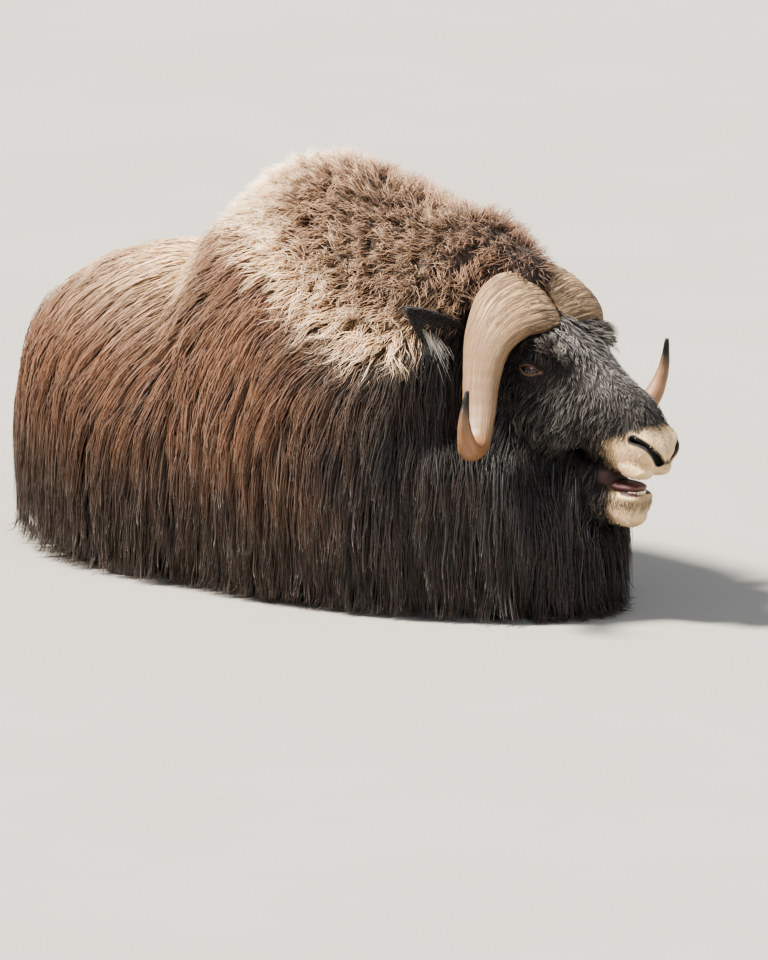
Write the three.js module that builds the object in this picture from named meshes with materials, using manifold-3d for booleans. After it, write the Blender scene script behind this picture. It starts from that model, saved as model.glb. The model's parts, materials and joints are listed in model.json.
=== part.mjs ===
// A bull muskox lying on its chest with its legs folded under it, head up and mouth a little open.
// Millimetres. The animal faces -Y, its right side is -X and the ground is z = 0.
import * as THREE from "three";
import { mergeVertices } from "three/addons/utils/BufferGeometryUtils.js";
import Module from "manifold-3d";

const wasm = await Module();
wasm.setup();

// Driving sizes

const GAP = 0.35; // between two nodes that touch
const GROWTH = 0.5; // how much a neighbour swells before it is cut away, so that GAP is left on slopes too
const WELD = 0.05; // corners closer than this become one after a cut
const TO_RUMP = -480; // where the trunk is parted, measured forward of the body's middle
const TO_SHOULDERS = -150;
const TO_NECK = 430;
const TO_THROAT = 440; // height at which the neck is parted from the throat and its beard
const TUCK = 0.08; // how far a flank of hair comes in again at the ground
const BELLY_TUCK = 0.3; // the same for the trunk under it
const OVER_STEPS = 7; // straight runs of a section from the spine to the widest level

// Outlines of the coat, out to the tips of the hair: how far forward, height of the back, half width, height of
// the widest level. The trunk under the hair lies `depth` below the outline, and `ends` says from where it also
// draws back from the outline's rear or front, and how far in all.
const BACK = {
  roundness: 2.15,
  depth: { top: 38, side: 62 },
  ends: { rear: [-600, 55], front: [900, 0] },
  rows: [
    [-765, 300, 70, 240],
    [-745, 420, 175, 260],
    [-700, 515, 245, 280],
    [-620, 595, 312, 290],
    [-500, 655, 362, 295],
    [-350, 690, 392, 300],
    [-120, 705, 408, 300],
  ],
};
const MANE = {
  roundness: 1.9,
  depth: { top: 60, side: 66 },
  ends: { rear: [-900, 0], front: [900, 0] },
  rows: [
    [-215, 735, 395, 330],
    [-150, 828, 405, 340],
    [-20, 905, 412, 340],
    [80, 934, 412, 340],
    [200, 928, 405, 345],
    [350, 893, 388, 350],
    [440, 878, 368, 350],
  ],
};
const CREST = {
  roundness: 1.9,
  depth: { top: 45, side: 52 },
  ends: { rear: [-900, 0], front: [560, 30] },
  rows: [
    [430, 880, 366, 350],
    [470, 872, 300, 420],
    [515, 861, 196, 500],
    [560, 848, 158, 540],
    [620, 826, 142, 560],
    [665, 792, 105, 580],
  ],
};
const THROAT = {
  roundness: 2,
  depth: { top: 50, side: 60 },
  ends: { rear: [-900, 0], front: [640, 55] },
  rows: [
    [430, 600, 366, 300],
    [500, 525, 332, 280],
    [560, 475, 298, 262],
    [640, 432, 256, 245],
    [720, 396, 200, 225],
    [780, 340, 122, 200],
    [805, 260, 45, 180],
  ],
};

// Locks: length along the coat, breadth, thickness, how deep below the outline the root sits, the share of the
// length that runs back rather than down, the sideways wave and the points around.
const LOCKS = {
  flank: { length: 320, width: 146, thickness: 36, root: 94, lean: 0.28, wave: 14, around: 3 },
  saddle: { length: 270, width: 146, thickness: 36, root: 68, lean: 0.5, wave: 12, around: 3 },
  wool: { length: 178, width: 146, thickness: 66, root: 96, lean: 0.4, wave: 8, around: 5 },
  fringe: { length: 270, width: 132, thickness: 38, root: 92, lean: 0.4, wave: 16, around: 3 },
  ruff: { length: 260, width: 126, thickness: 34, root: 80, lean: 0.2, wave: 12, around: 3 },
  beard: { length: 270, width: 112, thickness: 34, root: 84, lean: 0.04, wave: 14, around: 3 },
};
const LOCK_RINGS = [
  [0, 0.72],
  [0.42, 1],
  [0.8, 0.6],
];
const SHORTEST_LOCK = 110;
const SKIRT_REACH = 14; // how far a lock that ends at the ground would go on below it

// Sections of the head from the back of the skull to the nose, and of the lower jaw from its angle to the chin:
// forward and up of the top, forward and up of the underside, half width.
const HEAD_ROWS = [
  [500, 680, 482, 570, 60],
  [570, 708, 556, 496, 108],
  [648, 688, 612, 450, 126],
  [722, 640, 666, 424, 128],
  [780, 598, 722, 396, 116],
  [830, 560, 776, 371, 101],
  [874, 532, 820, 349, 88],
  [914, 512, 865, 328, 78],
  [944, 482, 905, 322, 71],
  [964, 447, 940, 323, 65],
  [986, 421, 966, 331, 54],
  [997, 402, 986, 350, 34],
];
const JAW_ROWS = [
  [668, 428, 624, 352, 76],
  [730, 388, 684, 300, 70],
  [796, 342, 752, 256, 62],
  [850, 306, 818, 222, 54],
  [888, 290, 874, 208, 46],
  [916, 286, 912, 224, 37],
  [930, 279, 930, 254, 20],
];
const EYE = { forward: 711, side: 111, up: 550, radius: 22 };
const ORBIT = { forward: 700, side: 84, up: 553, radii: [50, 46, 46] };
const NOSTRIL = { from: [936, 60, 412], to: [986, 20, 366], width: 9, depth: 20, proud: 10 };
const EAR = { base: [532, 122, 572], tip: [470, 262, 686], halfWidth: 43, thickness: 25, wall: 6 };

// The horn's centre line from the groove of the boss to the tip: forward, side, up, then its breadth, thickness
// and how far its broad face is tipped forward, in degrees.
const HORN_ROWS = [
  [650, -6, 677, 140, 30, 44],
  [652, 36, 683, 160, 52, 42],
  [649, 84, 683, 170, 62, 38],
  [636, 130, 660, 160, 66, 30],
  [626, 166, 605, 134, 66, 18],
  [626, 188, 530, 108, 60, 6],
  [642, 214, 458, 82, 55, 0],
  [668, 252, 408, 62, 50, 0],
  [693, 300, 411, 47, 42, 0],
  [708, 336, 470, 30, 29, 0],
  [715, 361, 544, 9, 9, 0],
];
const BOSS_GROOVE = 4; // half the gap between the two horns over the forehead

// Legs folded under the coat, in two runs that meet at the bent joint: forward, side, up and radius.
const FORELEG = [
  [
    [420, 196, 112, 56],
    [560, 176, 70, 49],
    [696, 152, 47, 45],
  ],
  [
    [700, 126, 42, 42],
    [580, 108, 36, 31],
    [452, 104, 32, 32],
  ],
];
const FORE_HOOF = [400, 104];
const HINDLEG = [
  [
    [-300, 236, 112, 66],
    [-440, 222, 76, 50],
    [-580, 206, 50, 42],
  ],
  [
    [-582, 240, 46, 40],
    [-470, 262, 38, 31],
    [-330, 266, 34, 33],
  ],
];
const HIND_HOOF = [-278, 266];
const HOOF = { length: 100, width: 40, height: 46, spread: 22 };
const TAIL_ROWS = [
  [-650, 0, 525, 30],
  [-718, 0, 468, 26],
  [-756, 0, 404, 21],
  [-770, 0, 345, 14],
];
const TONGUE = { forward: 872, up: 299, length: 56, width: 28, height: 12 };
const TOOTH = { count: 8, width: 4.2, height: 12, thickness: 3.4, row: 26, arc: 2.4, forward: 892, up: 285 };

// Places and tables

const at = (forward, side, up) => new THREE.Vector3(-side, -forward, up);

// A column of a table as a smooth function of its first column, or of the row number.
function rowAt(rows, position) {
  const i = Math.min(Math.max(Math.floor(position), 0), rows.length - 2);
  const t = Math.min(Math.max(position - i, 0), 1);
  const row = (k) => rows[Math.min(Math.max(k, 0), rows.length - 1)];
  const [before, from, to, after] = [row(i - 1), row(i), row(i + 1), row(i + 2)];
  return from.map((value, column) => {
    const leave = (to[column] - before[column]) / 2;
    const arrive = (after[column] - value) / 2;
    const rise = to[column] - value;
    return value + t * (leave + t * (3 * rise - 2 * leave - arrive + t * (leave + arrive - 2 * rise)));
  });
}

function rowWhere(rows, forward) {
  let i = 0;
  while (i < rows.length - 2 && forward > rows[i + 1][0]) i++;
  const share = (forward - rows[i][0]) / (rows[i + 1][0] - rows[i][0]);
  return rowAt(rows, i + share);
}

// Solids

// A closed surface through rings of equal point count, with a fan over each end, the last to `tip` if given.
function throughRings(rings, tip) {
  const sides = rings[0].length;
  const points = rings.flat();
  const middle = (ring) => ring.reduce((sum, p) => sum.add(p), new THREE.Vector3()).divideScalar(sides);
  const first = points.push(middle(rings[0])) - 1;
  const last = points.push(tip ?? middle(rings.at(-1))) - 1;
  const index = [];
  for (let ring = 0; ring < rings.length - 1; ring++) {
    for (let k = 0; k < sides; k++) {
      const a = ring * sides + k;
      const b = ring * sides + ((k + 1) % sides);
      index.push(a, b, a + sides, b, b + sides, a + sides);
    }
  }
  const end = (rings.length - 1) * sides;
  for (let k = 0; k < sides; k++) {
    index.push(first, (k + 1) % sides, k);
    index.push(last, end + k, end + ((k + 1) % sides));
  }
  const geometry = new THREE.BufferGeometry().setFromPoints(points);
  geometry.setIndex(index);
  return geometry;
}

// A geometry as a solid with its faces turned out. Corners closer than `weld` become one.
function solid(geometry, weld = 1e-3) {
  const bare = new THREE.BufferGeometry().setAttribute("position", geometry.getAttribute("position"));
  const merged = mergeVertices(bare.setIndex(geometry.index), weld);
  const corners = Array.from(merged.index.array);
  const kept = [];
  for (let i = 0; i < corners.length; i += 3) {
    const [a, b, c] = corners.slice(i, i + 3);
    if (a !== b && b !== c && a !== c) kept.push(a, b, c);
  }
  const make = (triangles) =>
    new wasm.Manifold(
      new wasm.Mesh({
        numProp: 3,
        vertProperties: new Float32Array(merged.getAttribute("position").array),
        triVerts: new Uint32Array(triangles),
      }),
    );
  const made = make(kept);
  return made.volume() > 0 ? made : make(kept.reverse());
}

const join = (solids) => wasm.Manifold.union(solids);
const onGround = (shape) => shape.trimByPlane([0, 0, 1], 0);

// The largest closed surface of a solid, with any sealed hollow filled.
function largest(shape) {
  return shape.decompose().reduce((best, piece) => (piece.volume() > best.volume() ? piece : best));
}

function geometryOf(shape) {
  const { numProp, numVert, vertProperties, triVerts } = shape.getMesh();
  const points = new Float32Array(numVert * 3);
  for (let i = 0; i < numVert; i++) points.set(vertProperties.subarray(i * numProp, i * numProp + 3), i * 3);
  return new THREE.BufferGeometry()
    .setAttribute("position", new THREE.BufferAttribute(points, 3))
    .setIndex(new THREE.BufferAttribute(new Uint32Array(triVerts), 1));
}

// An oval tube along table rows, swollen all over by `grow`. `shape` gives each ring its broad direction and its
// half sizes: towards that direction, away from it and sideways.
function ovalTube(rows, rings, sides, grow, shape) {
  const made = [];
  for (let i = 0; i < rings; i++) {
    const position = (i / (rings - 1)) * (rows.length - 1);
    const centre = at(...rowAt(rows, position).slice(0, 3));
    const ahead = at(...rowAt(rows, position + 0.05).slice(0, 3));
    const behind = at(...rowAt(rows, position - 0.05).slice(0, 3));
    const along = ahead.sub(behind).normalize();
    if (i === 0) centre.addScaledVector(along, -grow);
    if (i === rings - 1) centre.addScaledVector(along, grow);
    const { broad, over, under, side } = shape(rowAt(rows, position));
    const up = broad.addScaledVector(along, -broad.dot(along)).normalize();
    const across = new THREE.Vector3().crossVectors(along, up);
    const ring = [];
    for (let k = 0; k < sides; k++) {
      const angle = (k / sides) * 2 * Math.PI;
      const lift = grow + (Math.cos(angle) > 0 ? over : under);
      const reach = grow + side;
      ring.push(
        centre
          .clone()
          .addScaledVector(up, lift * Math.cos(angle))
          .addScaledVector(across, reach * Math.sin(angle)),
      );
    }
    made.push(ring);
  }
  return solid(throughRings(made));
}

// A closed tube through oval sections, each given by its top, its underside and its half width.
function throughSections(rows, rings, sides, grow) {
  const made = [];
  for (let i = 0; i < rings; i++) {
    const [topAhead, topUp, lowAhead, lowUp, half] = rowAt(rows, (i / (rings - 1)) * (rows.length - 1));
    const top = at(topAhead, 0, topUp);
    const low = at(lowAhead, 0, lowUp);
    const rise = top.clone().sub(low);
    const reach = rise.length() / 2 + grow;
    const up = rise.normalize();
    const along = new THREE.Vector3().crossVectors(up, at(0, 1, 0));
    const shift = i === 0 ? -grow : i === rings - 1 ? grow : 0;
    const centre = top.add(low).multiplyScalar(0.5).addScaledVector(along, shift);
    const ring = [];
    for (let k = 0; k < sides; k++) {
      const angle = (k / sides) * 2 * Math.PI;
      const wide = at(0, (half + grow) * Math.sin(angle), 0);
      ring.push(centre.clone().add(wide).addScaledVector(up, reach * Math.cos(angle)));
    }
    made.push(ring);
  }
  return solid(throughRings(made));
}

// An ellipsoid: half sizes across, towards `out` and along `axis`.
function lens(centre, radii, axis = at(0, 0, 1), out = at(1, 0, 0), detail = [10, 7]) {
  const along = axis.clone().normalize();
  const face = out.clone().addScaledVector(along, -out.dot(along)).normalize();
  const across = new THREE.Vector3().crossVectors(face, along);
  const geometry = new THREE.SphereGeometry(1, ...detail);
  geometry.rotateX(Math.PI / 2);
  geometry.scale(...radii);
  geometry.applyMatrix4(new THREE.Matrix4().makeBasis(across, face, along));
  return solid(geometry.translate(...centre.toArray()));
}

// The trunk and its coat

// Half a section of a coat at one place forward, from the spine down one side to the ground: [out, up].
function halfSection({ roundness, rows }, forward) {
  const [, top, half, widest] = rowWhere(rows, forward);
  const power = 2 / roundness;
  const points = [];
  for (let i = 0; i <= OVER_STEPS; i++) {
    const angle = (i / OVER_STEPS) * (Math.PI / 2);
    const over = (top - widest) * Math.abs(Math.cos(angle)) ** power;
    points.push(new THREE.Vector2(half * Math.sin(angle) ** power, widest + over));
  }
  for (let down = 1 / 3; down < 1.1; down += 1 / 3) {
    points.push(new THREE.Vector2(half * (1 - TUCK * down * down), widest * (1 - down)));
  }
  return points;
}

const sectionCurves = new Map();
function sectionCurve(coat, forward) {
  const key = `${coat.rows[0][0]} ${coat.roundness} ${coat.rows.length} ${Math.round(forward)}`;
  if (!sectionCurves.has(key)) {
    const curve = new THREE.SplineCurve(halfSection(coat, Math.round(forward)));
    curve.arcLengthDivisions = 80;
    sectionCurves.set(key, curve);
  }
  return sectionCurves.get(key);
}

const halfGirth = (coat, forward) => sectionCurve(coat, forward).getLength();

// A point of a coat's outline, `down` millimetres from the spine along its section.
function onCoat(coat, forward, down, side) {
  const girth = halfGirth(coat, forward);
  const place = sectionCurve(coat, forward).getPointAt(Math.min(Math.max(down / girth, 0), 1));
  return at(forward, side * place.x, place.y - Math.max(down - girth, 0));
}

// The way out of the coat at a point of its outline.
function outOfCoat(coat, forward, down, side) {
  const step = 8;
  const above = Math.max(down - step, 1);
  const along = onCoat(coat, forward + step, down, side).sub(onCoat(coat, forward - step, down, side));
  const across = onCoat(coat, forward, down + step, side).sub(onCoat(coat, forward, above, side));
  return across.cross(along).multiplyScalar(side).normalize();
}

// A length of the trunk under a coat.
function trunk(coat, from, to, rings, grow) {
  const made = [];
  const { rear, front } = coat.ends;
  for (let i = 0; i < rings; i++) {
    const forward = from + ((to - from) * i) / (rings - 1);
    const behind = (Math.max(rear[0] - forward, 0) / (rear[0] - coat.rows[0][0])) * rear[1];
    const before = (Math.max(forward - front[0], 0) / (coat.rows.at(-1)[0] - front[0])) * front[1];
    const section = [];
    for (const { x, y } of halfSection(coat, forward)) {
      const [, top, half, widest] = rowWhere(coat.rows, forward);
      const over = Math.max(y - widest, 0) / (top - widest);
      const tuck = 1 - BELLY_TUCK * Math.max(1 - y / widest, 0) ** 2;
      const out = x * tuck * Math.max(1 - coat.depth.side / half, 0.3) + grow * (x / half);
      section.push([forward + behind - before, out, y - over * (coat.depth.top - grow)]);
    }
    section.at(-1)[2] = -grow;
    const left = section.slice(1).reverse();
    made.push([
      ...section.map(([ahead, out, up]) => at(ahead, out, up)),
      ...left.map(([ahead, out, up]) => at(ahead, -out, up)),
    ]);
  }
  return solid(throughRings(made));
}

// Repeatable random numbers from 0 to 1.
function seeded(seed) {
  let state = seed;
  return () => {
    state = (state + 0x6d2b79f5) | 0;
    let mixed = Math.imul(state ^ (state >>> 15), 1 | state);
    mixed = (mixed + Math.imul(mixed ^ (mixed >>> 7), 61 | mixed)) ^ mixed;
    return ((mixed ^ (mixed >>> 14)) >>> 0) / 4294967296;
  };
}

// One flat, tapered lock that lies along the coat, its root sunk in the trunk and its tip on the outline.
function lock(coat, style, forward, down, side, random, grow) {
  const vary = (share) => 1 + share * (2 * random() - 1);
  const lean = style.lean + 0.1 * (vary(1) - 1);
  const fall = Math.sqrt(1 - lean * lean);
  const toGround = (halfGirth(coat, forward) + SKIRT_REACH - down) / fall;
  let length = style.length * vary(0.14);
  if (length > toGround - 0.4 * style.length) length = toGround;
  const width = style.width * vary(0.12);
  const wave = style.wave * (vary(1) - 1);
  const lift = 5 * (vary(1) - 1);
  if (length < SHORTEST_LOCK) return [];
  const spot = (t) => {
    const ahead = Math.max(forward - lean * length * t + wave * Math.sin(4 * t), coat.rows[0][0]);
    const below = down + fall * length * t;
    const out = outOfCoat(coat, ahead, below, side);
    const depth = style.root * (1 - t) ** 3 + style.thickness * 0.35 + lift;
    return { point: onCoat(coat, ahead, below, side).addScaledVector(out, -depth), out };
  };
  const rings = LOCK_RINGS.map(([t, breadth]) => {
    const { point, out } = spot(t);
    const along = spot(t + 0.04).point.sub(spot(t - 0.04).point).normalize();
    const across = new THREE.Vector3().crossVectors(along, out).normalize();
    if (t === 0) point.addScaledVector(spot(LOCK_RINGS[1][0]).point.sub(point).normalize(), -2 * grow);
    const ring = [];
    for (let k = 0; k < style.around; k++) {
      const angle = (k / style.around + 0.25) * 2 * Math.PI;
      const wide = ((width * breadth) / 2 + 6 * grow) * Math.cos(angle);
      const thick = ((style.thickness * (0.4 + 0.6 * breadth)) / 2 + 2 * grow) * Math.sin(angle);
      ring.push(point.clone().addScaledVector(across, wide).addScaledVector(out, thick));
    }
    return ring;
  });
  const beforeTip = spot(0.9).point;
  const tip = spot(1).point.sub(beforeTip);
  tip.setLength(tip.length() + 4 * grow).add(beforeTip);
  return [solid(throughRings(rings, tip))];
}

// Locks over a stretch of coat, on both sides, in columns along the body and tiers down the side.
function locks(coat, columns, tiers, random, grow) {
  const made = [];
  for (const side of [1, -1]) {
    columns.forEach((forward, column) => {
      tiers.forEach(({ style, down }, tier) => {
        const next = tiers[tier + 1]?.down ?? down + style.length / 2;
        const shift = column % 2 ? 0.4 * (next - down) : 0;
        const aside = 0.1 * style.width * (2 * random() - 1);
        made.push(...lock(coat, style, forward + aside, down + shift, side, random, grow));
      });
    });
  }
  return made;
}

function evenly(from, to, count) {
  return Array.from({ length: count }, (_, i) => from + ((to - from) * i) / (count - 1));
}
const tiersOf = (style, ...downs) => downs.map((down) => ({ style, down }));

function rump(grow) {
  const random = seeded(41);
  const body = trunk(BACK, -765 - grow, TO_RUMP - GAP + grow, 7, grow);
  const tiers = [...tiersOf(LOCKS.saddle, 15, 190), ...tiersOf(LOCKS.flank, 380, 620)];
  return join([body, ...locks(BACK, [-535, -640, -725], tiers, random, grow)]);
}

function torso(grow) {
  const random = seeded(31);
  const body = trunk(BACK, TO_RUMP - grow, TO_SHOULDERS - GAP + grow, 4, grow);
  const tiers = [...tiersOf(LOCKS.saddle, 15, 190), ...tiersOf(LOCKS.flank, 380, 600)];
  return join([body, ...locks(BACK, evenly(-425, -185, 3), tiers, random, grow)]);
}

function shoulders(grow) {
  const random = seeded(21);
  const body = trunk(MANE, TO_SHOULDERS - grow, TO_NECK + grow, 7, grow);
  const tiers = [
    ...tiersOf(LOCKS.wool, 5, 125, 245),
    ...tiersOf(LOCKS.fringe, 370),
    ...tiersOf(LOCKS.flank, 560, 790),
  ];
  return join([body, ...locks(MANE, evenly(-95, 390, 5), tiers, random, grow)]);
}

function neck(grow) {
  const random = seeded(51);
  const body = trunk(CREST, TO_NECK + GAP - grow, 665 + grow, 5, 4 * grow).trimByPlane([0, 0, 1], TO_THROAT - grow);
  const tiers = tiersOf(LOCKS.ruff, 10, 200);
  return join([body, ...locks(CREST, [485, 600], tiers, random, grow)]);
}

function throat(grow) {
  const random = seeded(61);
  return join([
    trunk(THROAT, TO_NECK + GAP - grow, 805 + grow, 6, grow),
    ...locks(THROAT, [480, 580], tiersOf(LOCKS.ruff, 190, 400), random, grow),
    ...locks(THROAT, [675, 745, 794], tiersOf(LOCKS.beard, 90, 300), random, grow),
  ]);
}

// The head

// One tuft of hair on the head, from its root to its tip.
function tuft(root, tip, width, thickness, grow) {
  const along = tip.clone().sub(root).normalize();
  const across = new THREE.Vector3().crossVectors(along, at(0, 0, 1)).normalize();
  const out = new THREE.Vector3().crossVectors(across, along);
  const rings = LOCK_RINGS.map(([t, breadth]) =>
    [0.25, 0.25 + 1 / 3, 0.25 + 2 / 3].map((turn) => {
      const angle = turn * 2 * Math.PI;
      return root
        .clone()
        .lerp(tip, t)
        .addScaledVector(along, t === 0 ? -2 * grow : 0)
        .addScaledVector(across, ((width * breadth) / 2 + 6 * grow) * Math.cos(angle))
        .addScaledVector(out, ((thickness * breadth) / 2 + 2 * grow) * Math.sin(angle));
    }),
  );
  return solid(throughRings(rings, tip.clone().addScaledVector(along, 4 * grow)));
}

// The brow's tufts over an eye, those of the forehead before the boss and the long hair of a cheek.
function headTufts(side, grow) {
  const made = [];
  for (const [forward, up, reach] of [[694, 606, 66], [730, 596, 74], [764, 580, 58]]) {
    const root = at(forward, side * 84, up - 12);
    made.push(tuft(root, at(forward + 14, side * (84 + reach), up + 14), 46, 26, grow));
  }
  for (const [forward, out, up] of [[718, 26, 628], [722, 66, 618], [786, 30, 584], [776, 74, 570]]) {
    made.push(tuft(at(forward, side * out, up - 14), at(forward + 88, side * (out + 6), up - 34), 50, 30, grow));
  }
  for (const [forward, up] of [[660, 480], [706, 452], [752, 424], [798, 400]]) {
    made.push(tuft(at(forward, side * 92, up), at(forward - 10, side * 112, up - 120), 62, 36, grow));
  }
  return made;
}

const eyeFacing = (side) => at(0.35, 0.93 * side, 0.05);
const eyeCentre = (side) => at(EYE.forward, side * EYE.side, EYE.up);

function eyeball(side, grow) {
  const radius = EYE.radius + grow;
  return lens(eyeCentre(side), [radius, radius, radius], eyeFacing(side), at(0, 0, 1), [12, 8]);
}

function lids(side, grow) {
  const ring = new THREE.TorusGeometry(EYE.radius + 3, 7 + grow, 4, 10);
  ring.scale(1.15, 0.66, 1);
  const facing = eyeFacing(side).normalize();
  const across = new THREE.Vector3().crossVectors(at(0, 0, 1), facing).normalize();
  const up = new THREE.Vector3().crossVectors(facing, across);
  ring.applyMatrix4(new THREE.Matrix4().makeBasis(across, up, facing));
  return solid(ring.translate(...eyeCentre(side).addScaledVector(facing, 11).toArray()));
}

function nostril(side) {
  const [from, to] = [NOSTRIL.from, NOSTRIL.to].map(([forward, out, up]) => at(forward, side * out, up));
  const axis = to.clone().sub(from);
  const out = at(0.6, side * 0.72, 0.34);
  const centre = from.add(to).multiplyScalar(0.5).addScaledVector(out, NOSTRIL.proud);
  return lens(centre, [NOSTRIL.width, NOSTRIL.depth, axis.length() / 2], axis, out, [8, 6]);
}

function head(grow) {
  const parts = [throughSections(HEAD_ROWS, 13, 14, grow)];
  for (const side of [1, -1]) {
    const { forward, up, radii } = ORBIT;
    const reach = radii.map((radius) => radius + grow);
    parts.push(lens(at(forward, side * ORBIT.side, up), reach), lids(side, grow), ...headTufts(side, grow));
  }
  const made = join(parts);
  return grow > 0 ? made : made.subtract(join([nostril(1), nostril(-1)]));
}

// The lower jaw with its row of front teeth, which stand along an arc behind the lip.
function jaw(grow) {
  const parts = [throughSections(JAW_ROWS, 9, 12, grow)];
  for (let i = 0; i < TOOTH.count; i++) {
    const turn = ((i + 0.5) / TOOTH.count - 0.5) * TOOTH.arc;
    const root = at(TOOTH.forward + TOOTH.row * Math.cos(turn), TOOTH.row * Math.sin(turn), TOOTH.up);
    const lean = at(0.5 * Math.cos(turn), 0.5 * Math.sin(turn), 1);
    const radii = [TOOTH.width + grow, TOOTH.thickness + grow, TOOTH.height + grow];
    parts.push(lens(root, radii, lean, at(1, 0, 0), [5, 3]));
  }
  return join(parts);
}

function tongue(grow) {
  const { forward, up, length, width, height } = TONGUE;
  return lens(at(forward, 0, up), [width + grow, height + grow, length + grow], at(1, 0, -0.08), at(0, 0, 1));
}

// A drooping leaf hollowed from the front.
function ear(side, grow) {
  const base = at(EAR.base[0], side * EAR.base[1], EAR.base[2]);
  const tip = at(EAR.tip[0], side * EAR.tip[1], EAR.tip[2]);
  const axis = tip.clone().sub(base);
  const out = at(0.8, side * 0.1, -0.45);
  const centre = base.add(tip).multiplyScalar(0.5);
  const reach = (inset) => [EAR.halfWidth - inset, EAR.thickness - inset / 2, axis.length() / 2 - inset];
  const leaf = lens(centre, reach(-grow), axis, out, [10, 7]);
  const hollow = lens(centre.clone().addScaledVector(out, EAR.wall + 7), reach(EAR.wall), axis, out, [10, 7]);
  return grow > 0 ? leaf : leaf.subtract(hollow);
}

const mirrored = (rows, side) => rows.map(([forward, out, ...rest]) => [forward, side * out, ...rest]);

function hornShape([, , , breadth, thickness, tip]) {
  const angle = THREE.MathUtils.degToRad(tip);
  const broad = at(Math.cos(angle), 0, -Math.sin(angle));
  return { broad, over: breadth / 2, under: breadth / 2, side: thickness / 2 };
}

function horn(side, grow) {
  const tube = ovalTube(mirrored(HORN_ROWS, side), 17, 12, grow, hornShape);
  return tube.trimByPlane([-side, 0, 0], BOSS_GROOVE - grow);
}

// Legs and tail

const roundShape = ([, , , radius]) => ({ broad: at(0.02, 0.35, 1), over: radius, under: radius, side: radius });

function limb(runs, side, grow) {
  const made = runs.map((rows) => ovalTube(mirrored(rows, side), 5, 8, grow, roundShape));
  const [forward, out, up, radius] = runs[1][0];
  const reach = radius + 3 + grow;
  made.push(lens(at(forward, side * (out + 6), up), [reach, reach, reach], at(0, 0, 1), at(1, 0, 0), [7, 5]));
  return join(made);
}

const tail = (grow) => ovalTube(TAIL_ROWS, 6, 8, grow, roundShape);

function hoof([forward, out], side, grow) {
  const claws = [-1, 1].map((which) => {
    const centre = at(forward, side * out + which * HOOF.spread, 0);
    const radii = [HOOF.width / 2 + 4 + grow, HOOF.height + grow, HOOF.length / 2 + grow];
    return lens(centre, radii, at(1, 0, 0), at(0, 0, 1), [8, 6]);
  });
  return join(claws);
}

// The nodes in the order in which they are cut: each gives way to all those before it.
const COLOURS = {
  wool: 0x7b5f49,
  saddle: 0xb08f6c,
  dark: 0x2c2320,
  face: 0x2f2b2b,
  muzzle: 0xd8cbb8,
  horn: 0xb89a78,
  hoof: 0x24201d,
  eye: 0x1a1412,
  tongue: 0x7a4a4a,
};

const sides = { right: 1, left: -1 };
const plan = [];
for (const [name, side] of Object.entries(sides)) {
  plan.push({ name: `eye_${name}`, make: (grow) => eyeball(side, grow), colour: COLOURS.eye, roughness: 0.15 });
  plan.push({ name: `horn_${name}`, make: (grow) => horn(side, grow), colour: COLOURS.horn, roughness: 0.5 });
  plan.push({ name: `hoof_fore_${name}`, make: (grow) => hoof(FORE_HOOF, side, grow), colour: COLOURS.hoof });
  plan.push({ name: `hoof_hind_${name}`, make: (grow) => hoof(HIND_HOOF, side, grow), colour: COLOURS.hoof });
  plan.push({ name: `foreleg_${name}`, make: (grow) => limb(FORELEG, side, grow), colour: COLOURS.dark });
  plan.push({ name: `hindleg_${name}`, make: (grow) => limb(HINDLEG, side, grow), colour: COLOURS.dark });
}
plan.push({ name: "head", make: head, colour: COLOURS.face });
plan.push({ name: "tongue", make: tongue, colour: COLOURS.tongue });
plan.push({ name: "lower_jaw", make: jaw, colour: COLOURS.muzzle });
for (const [name, side] of Object.entries(sides)) {
  plan.push({ name: `ear_${name}`, make: (grow) => ear(side, grow), colour: COLOURS.dark });
}
plan.push({ name: "tail", make: tail, colour: COLOURS.dark });
plan.push({ name: "shoulders", make: shoulders, colour: COLOURS.wool });
plan.push({ name: "neck", make: neck, colour: COLOURS.dark });
plan.push({ name: "throat", make: throat, colour: COLOURS.dark });
plan.push({ name: "torso", make: torso, colour: COLOURS.saddle });
plan.push({ name: "rump", make: rump, colour: COLOURS.wool });

const muskox = new THREE.Group();
const taken = [];
for (const { name, make, colour, roughness = 0.9 } of plan) {
  const cut = onGround(taken.reduce((rest, neighbour) => rest.subtract(neighbour), make(0)));
  const mesh = new THREE.Mesh(
    geometryOf(largest(solid(geometryOf(largest(cut.simplify(WELD))), WELD))),
    new THREE.MeshStandardMaterial({ color: colour, roughness, metalness: 0 }),
  );
  mesh.name = name;
  muskox.add(mesh);
  taken.push(make(GROWTH));
}

// The middle of the footprint is the origin.
const extent = new THREE.Box3().setFromObject(muskox);
muskox.position.set(-(extent.min.x + extent.max.x) / 2, -(extent.min.y + extent.max.y) / 2, -extent.min.z);

export default muskox;
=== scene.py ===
# %% [markdown]
# # A resting muskox
# A muskox is a low, long animal under a coat that reaches the ground. This lesson dresses a block model of one
# lying on its folded legs: first the skin, then the head's features, then the coat as tens of thousands of thin
# tapered tufts. The block model is loaded first, and everything else is placed from it.

# %% Load the block model
import json
import math

import bmesh
import bpy
import numpy as np
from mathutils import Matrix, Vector
from mathutils.bvhtree import BVHTree
from mathutils.kdtree import KDTree

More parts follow.
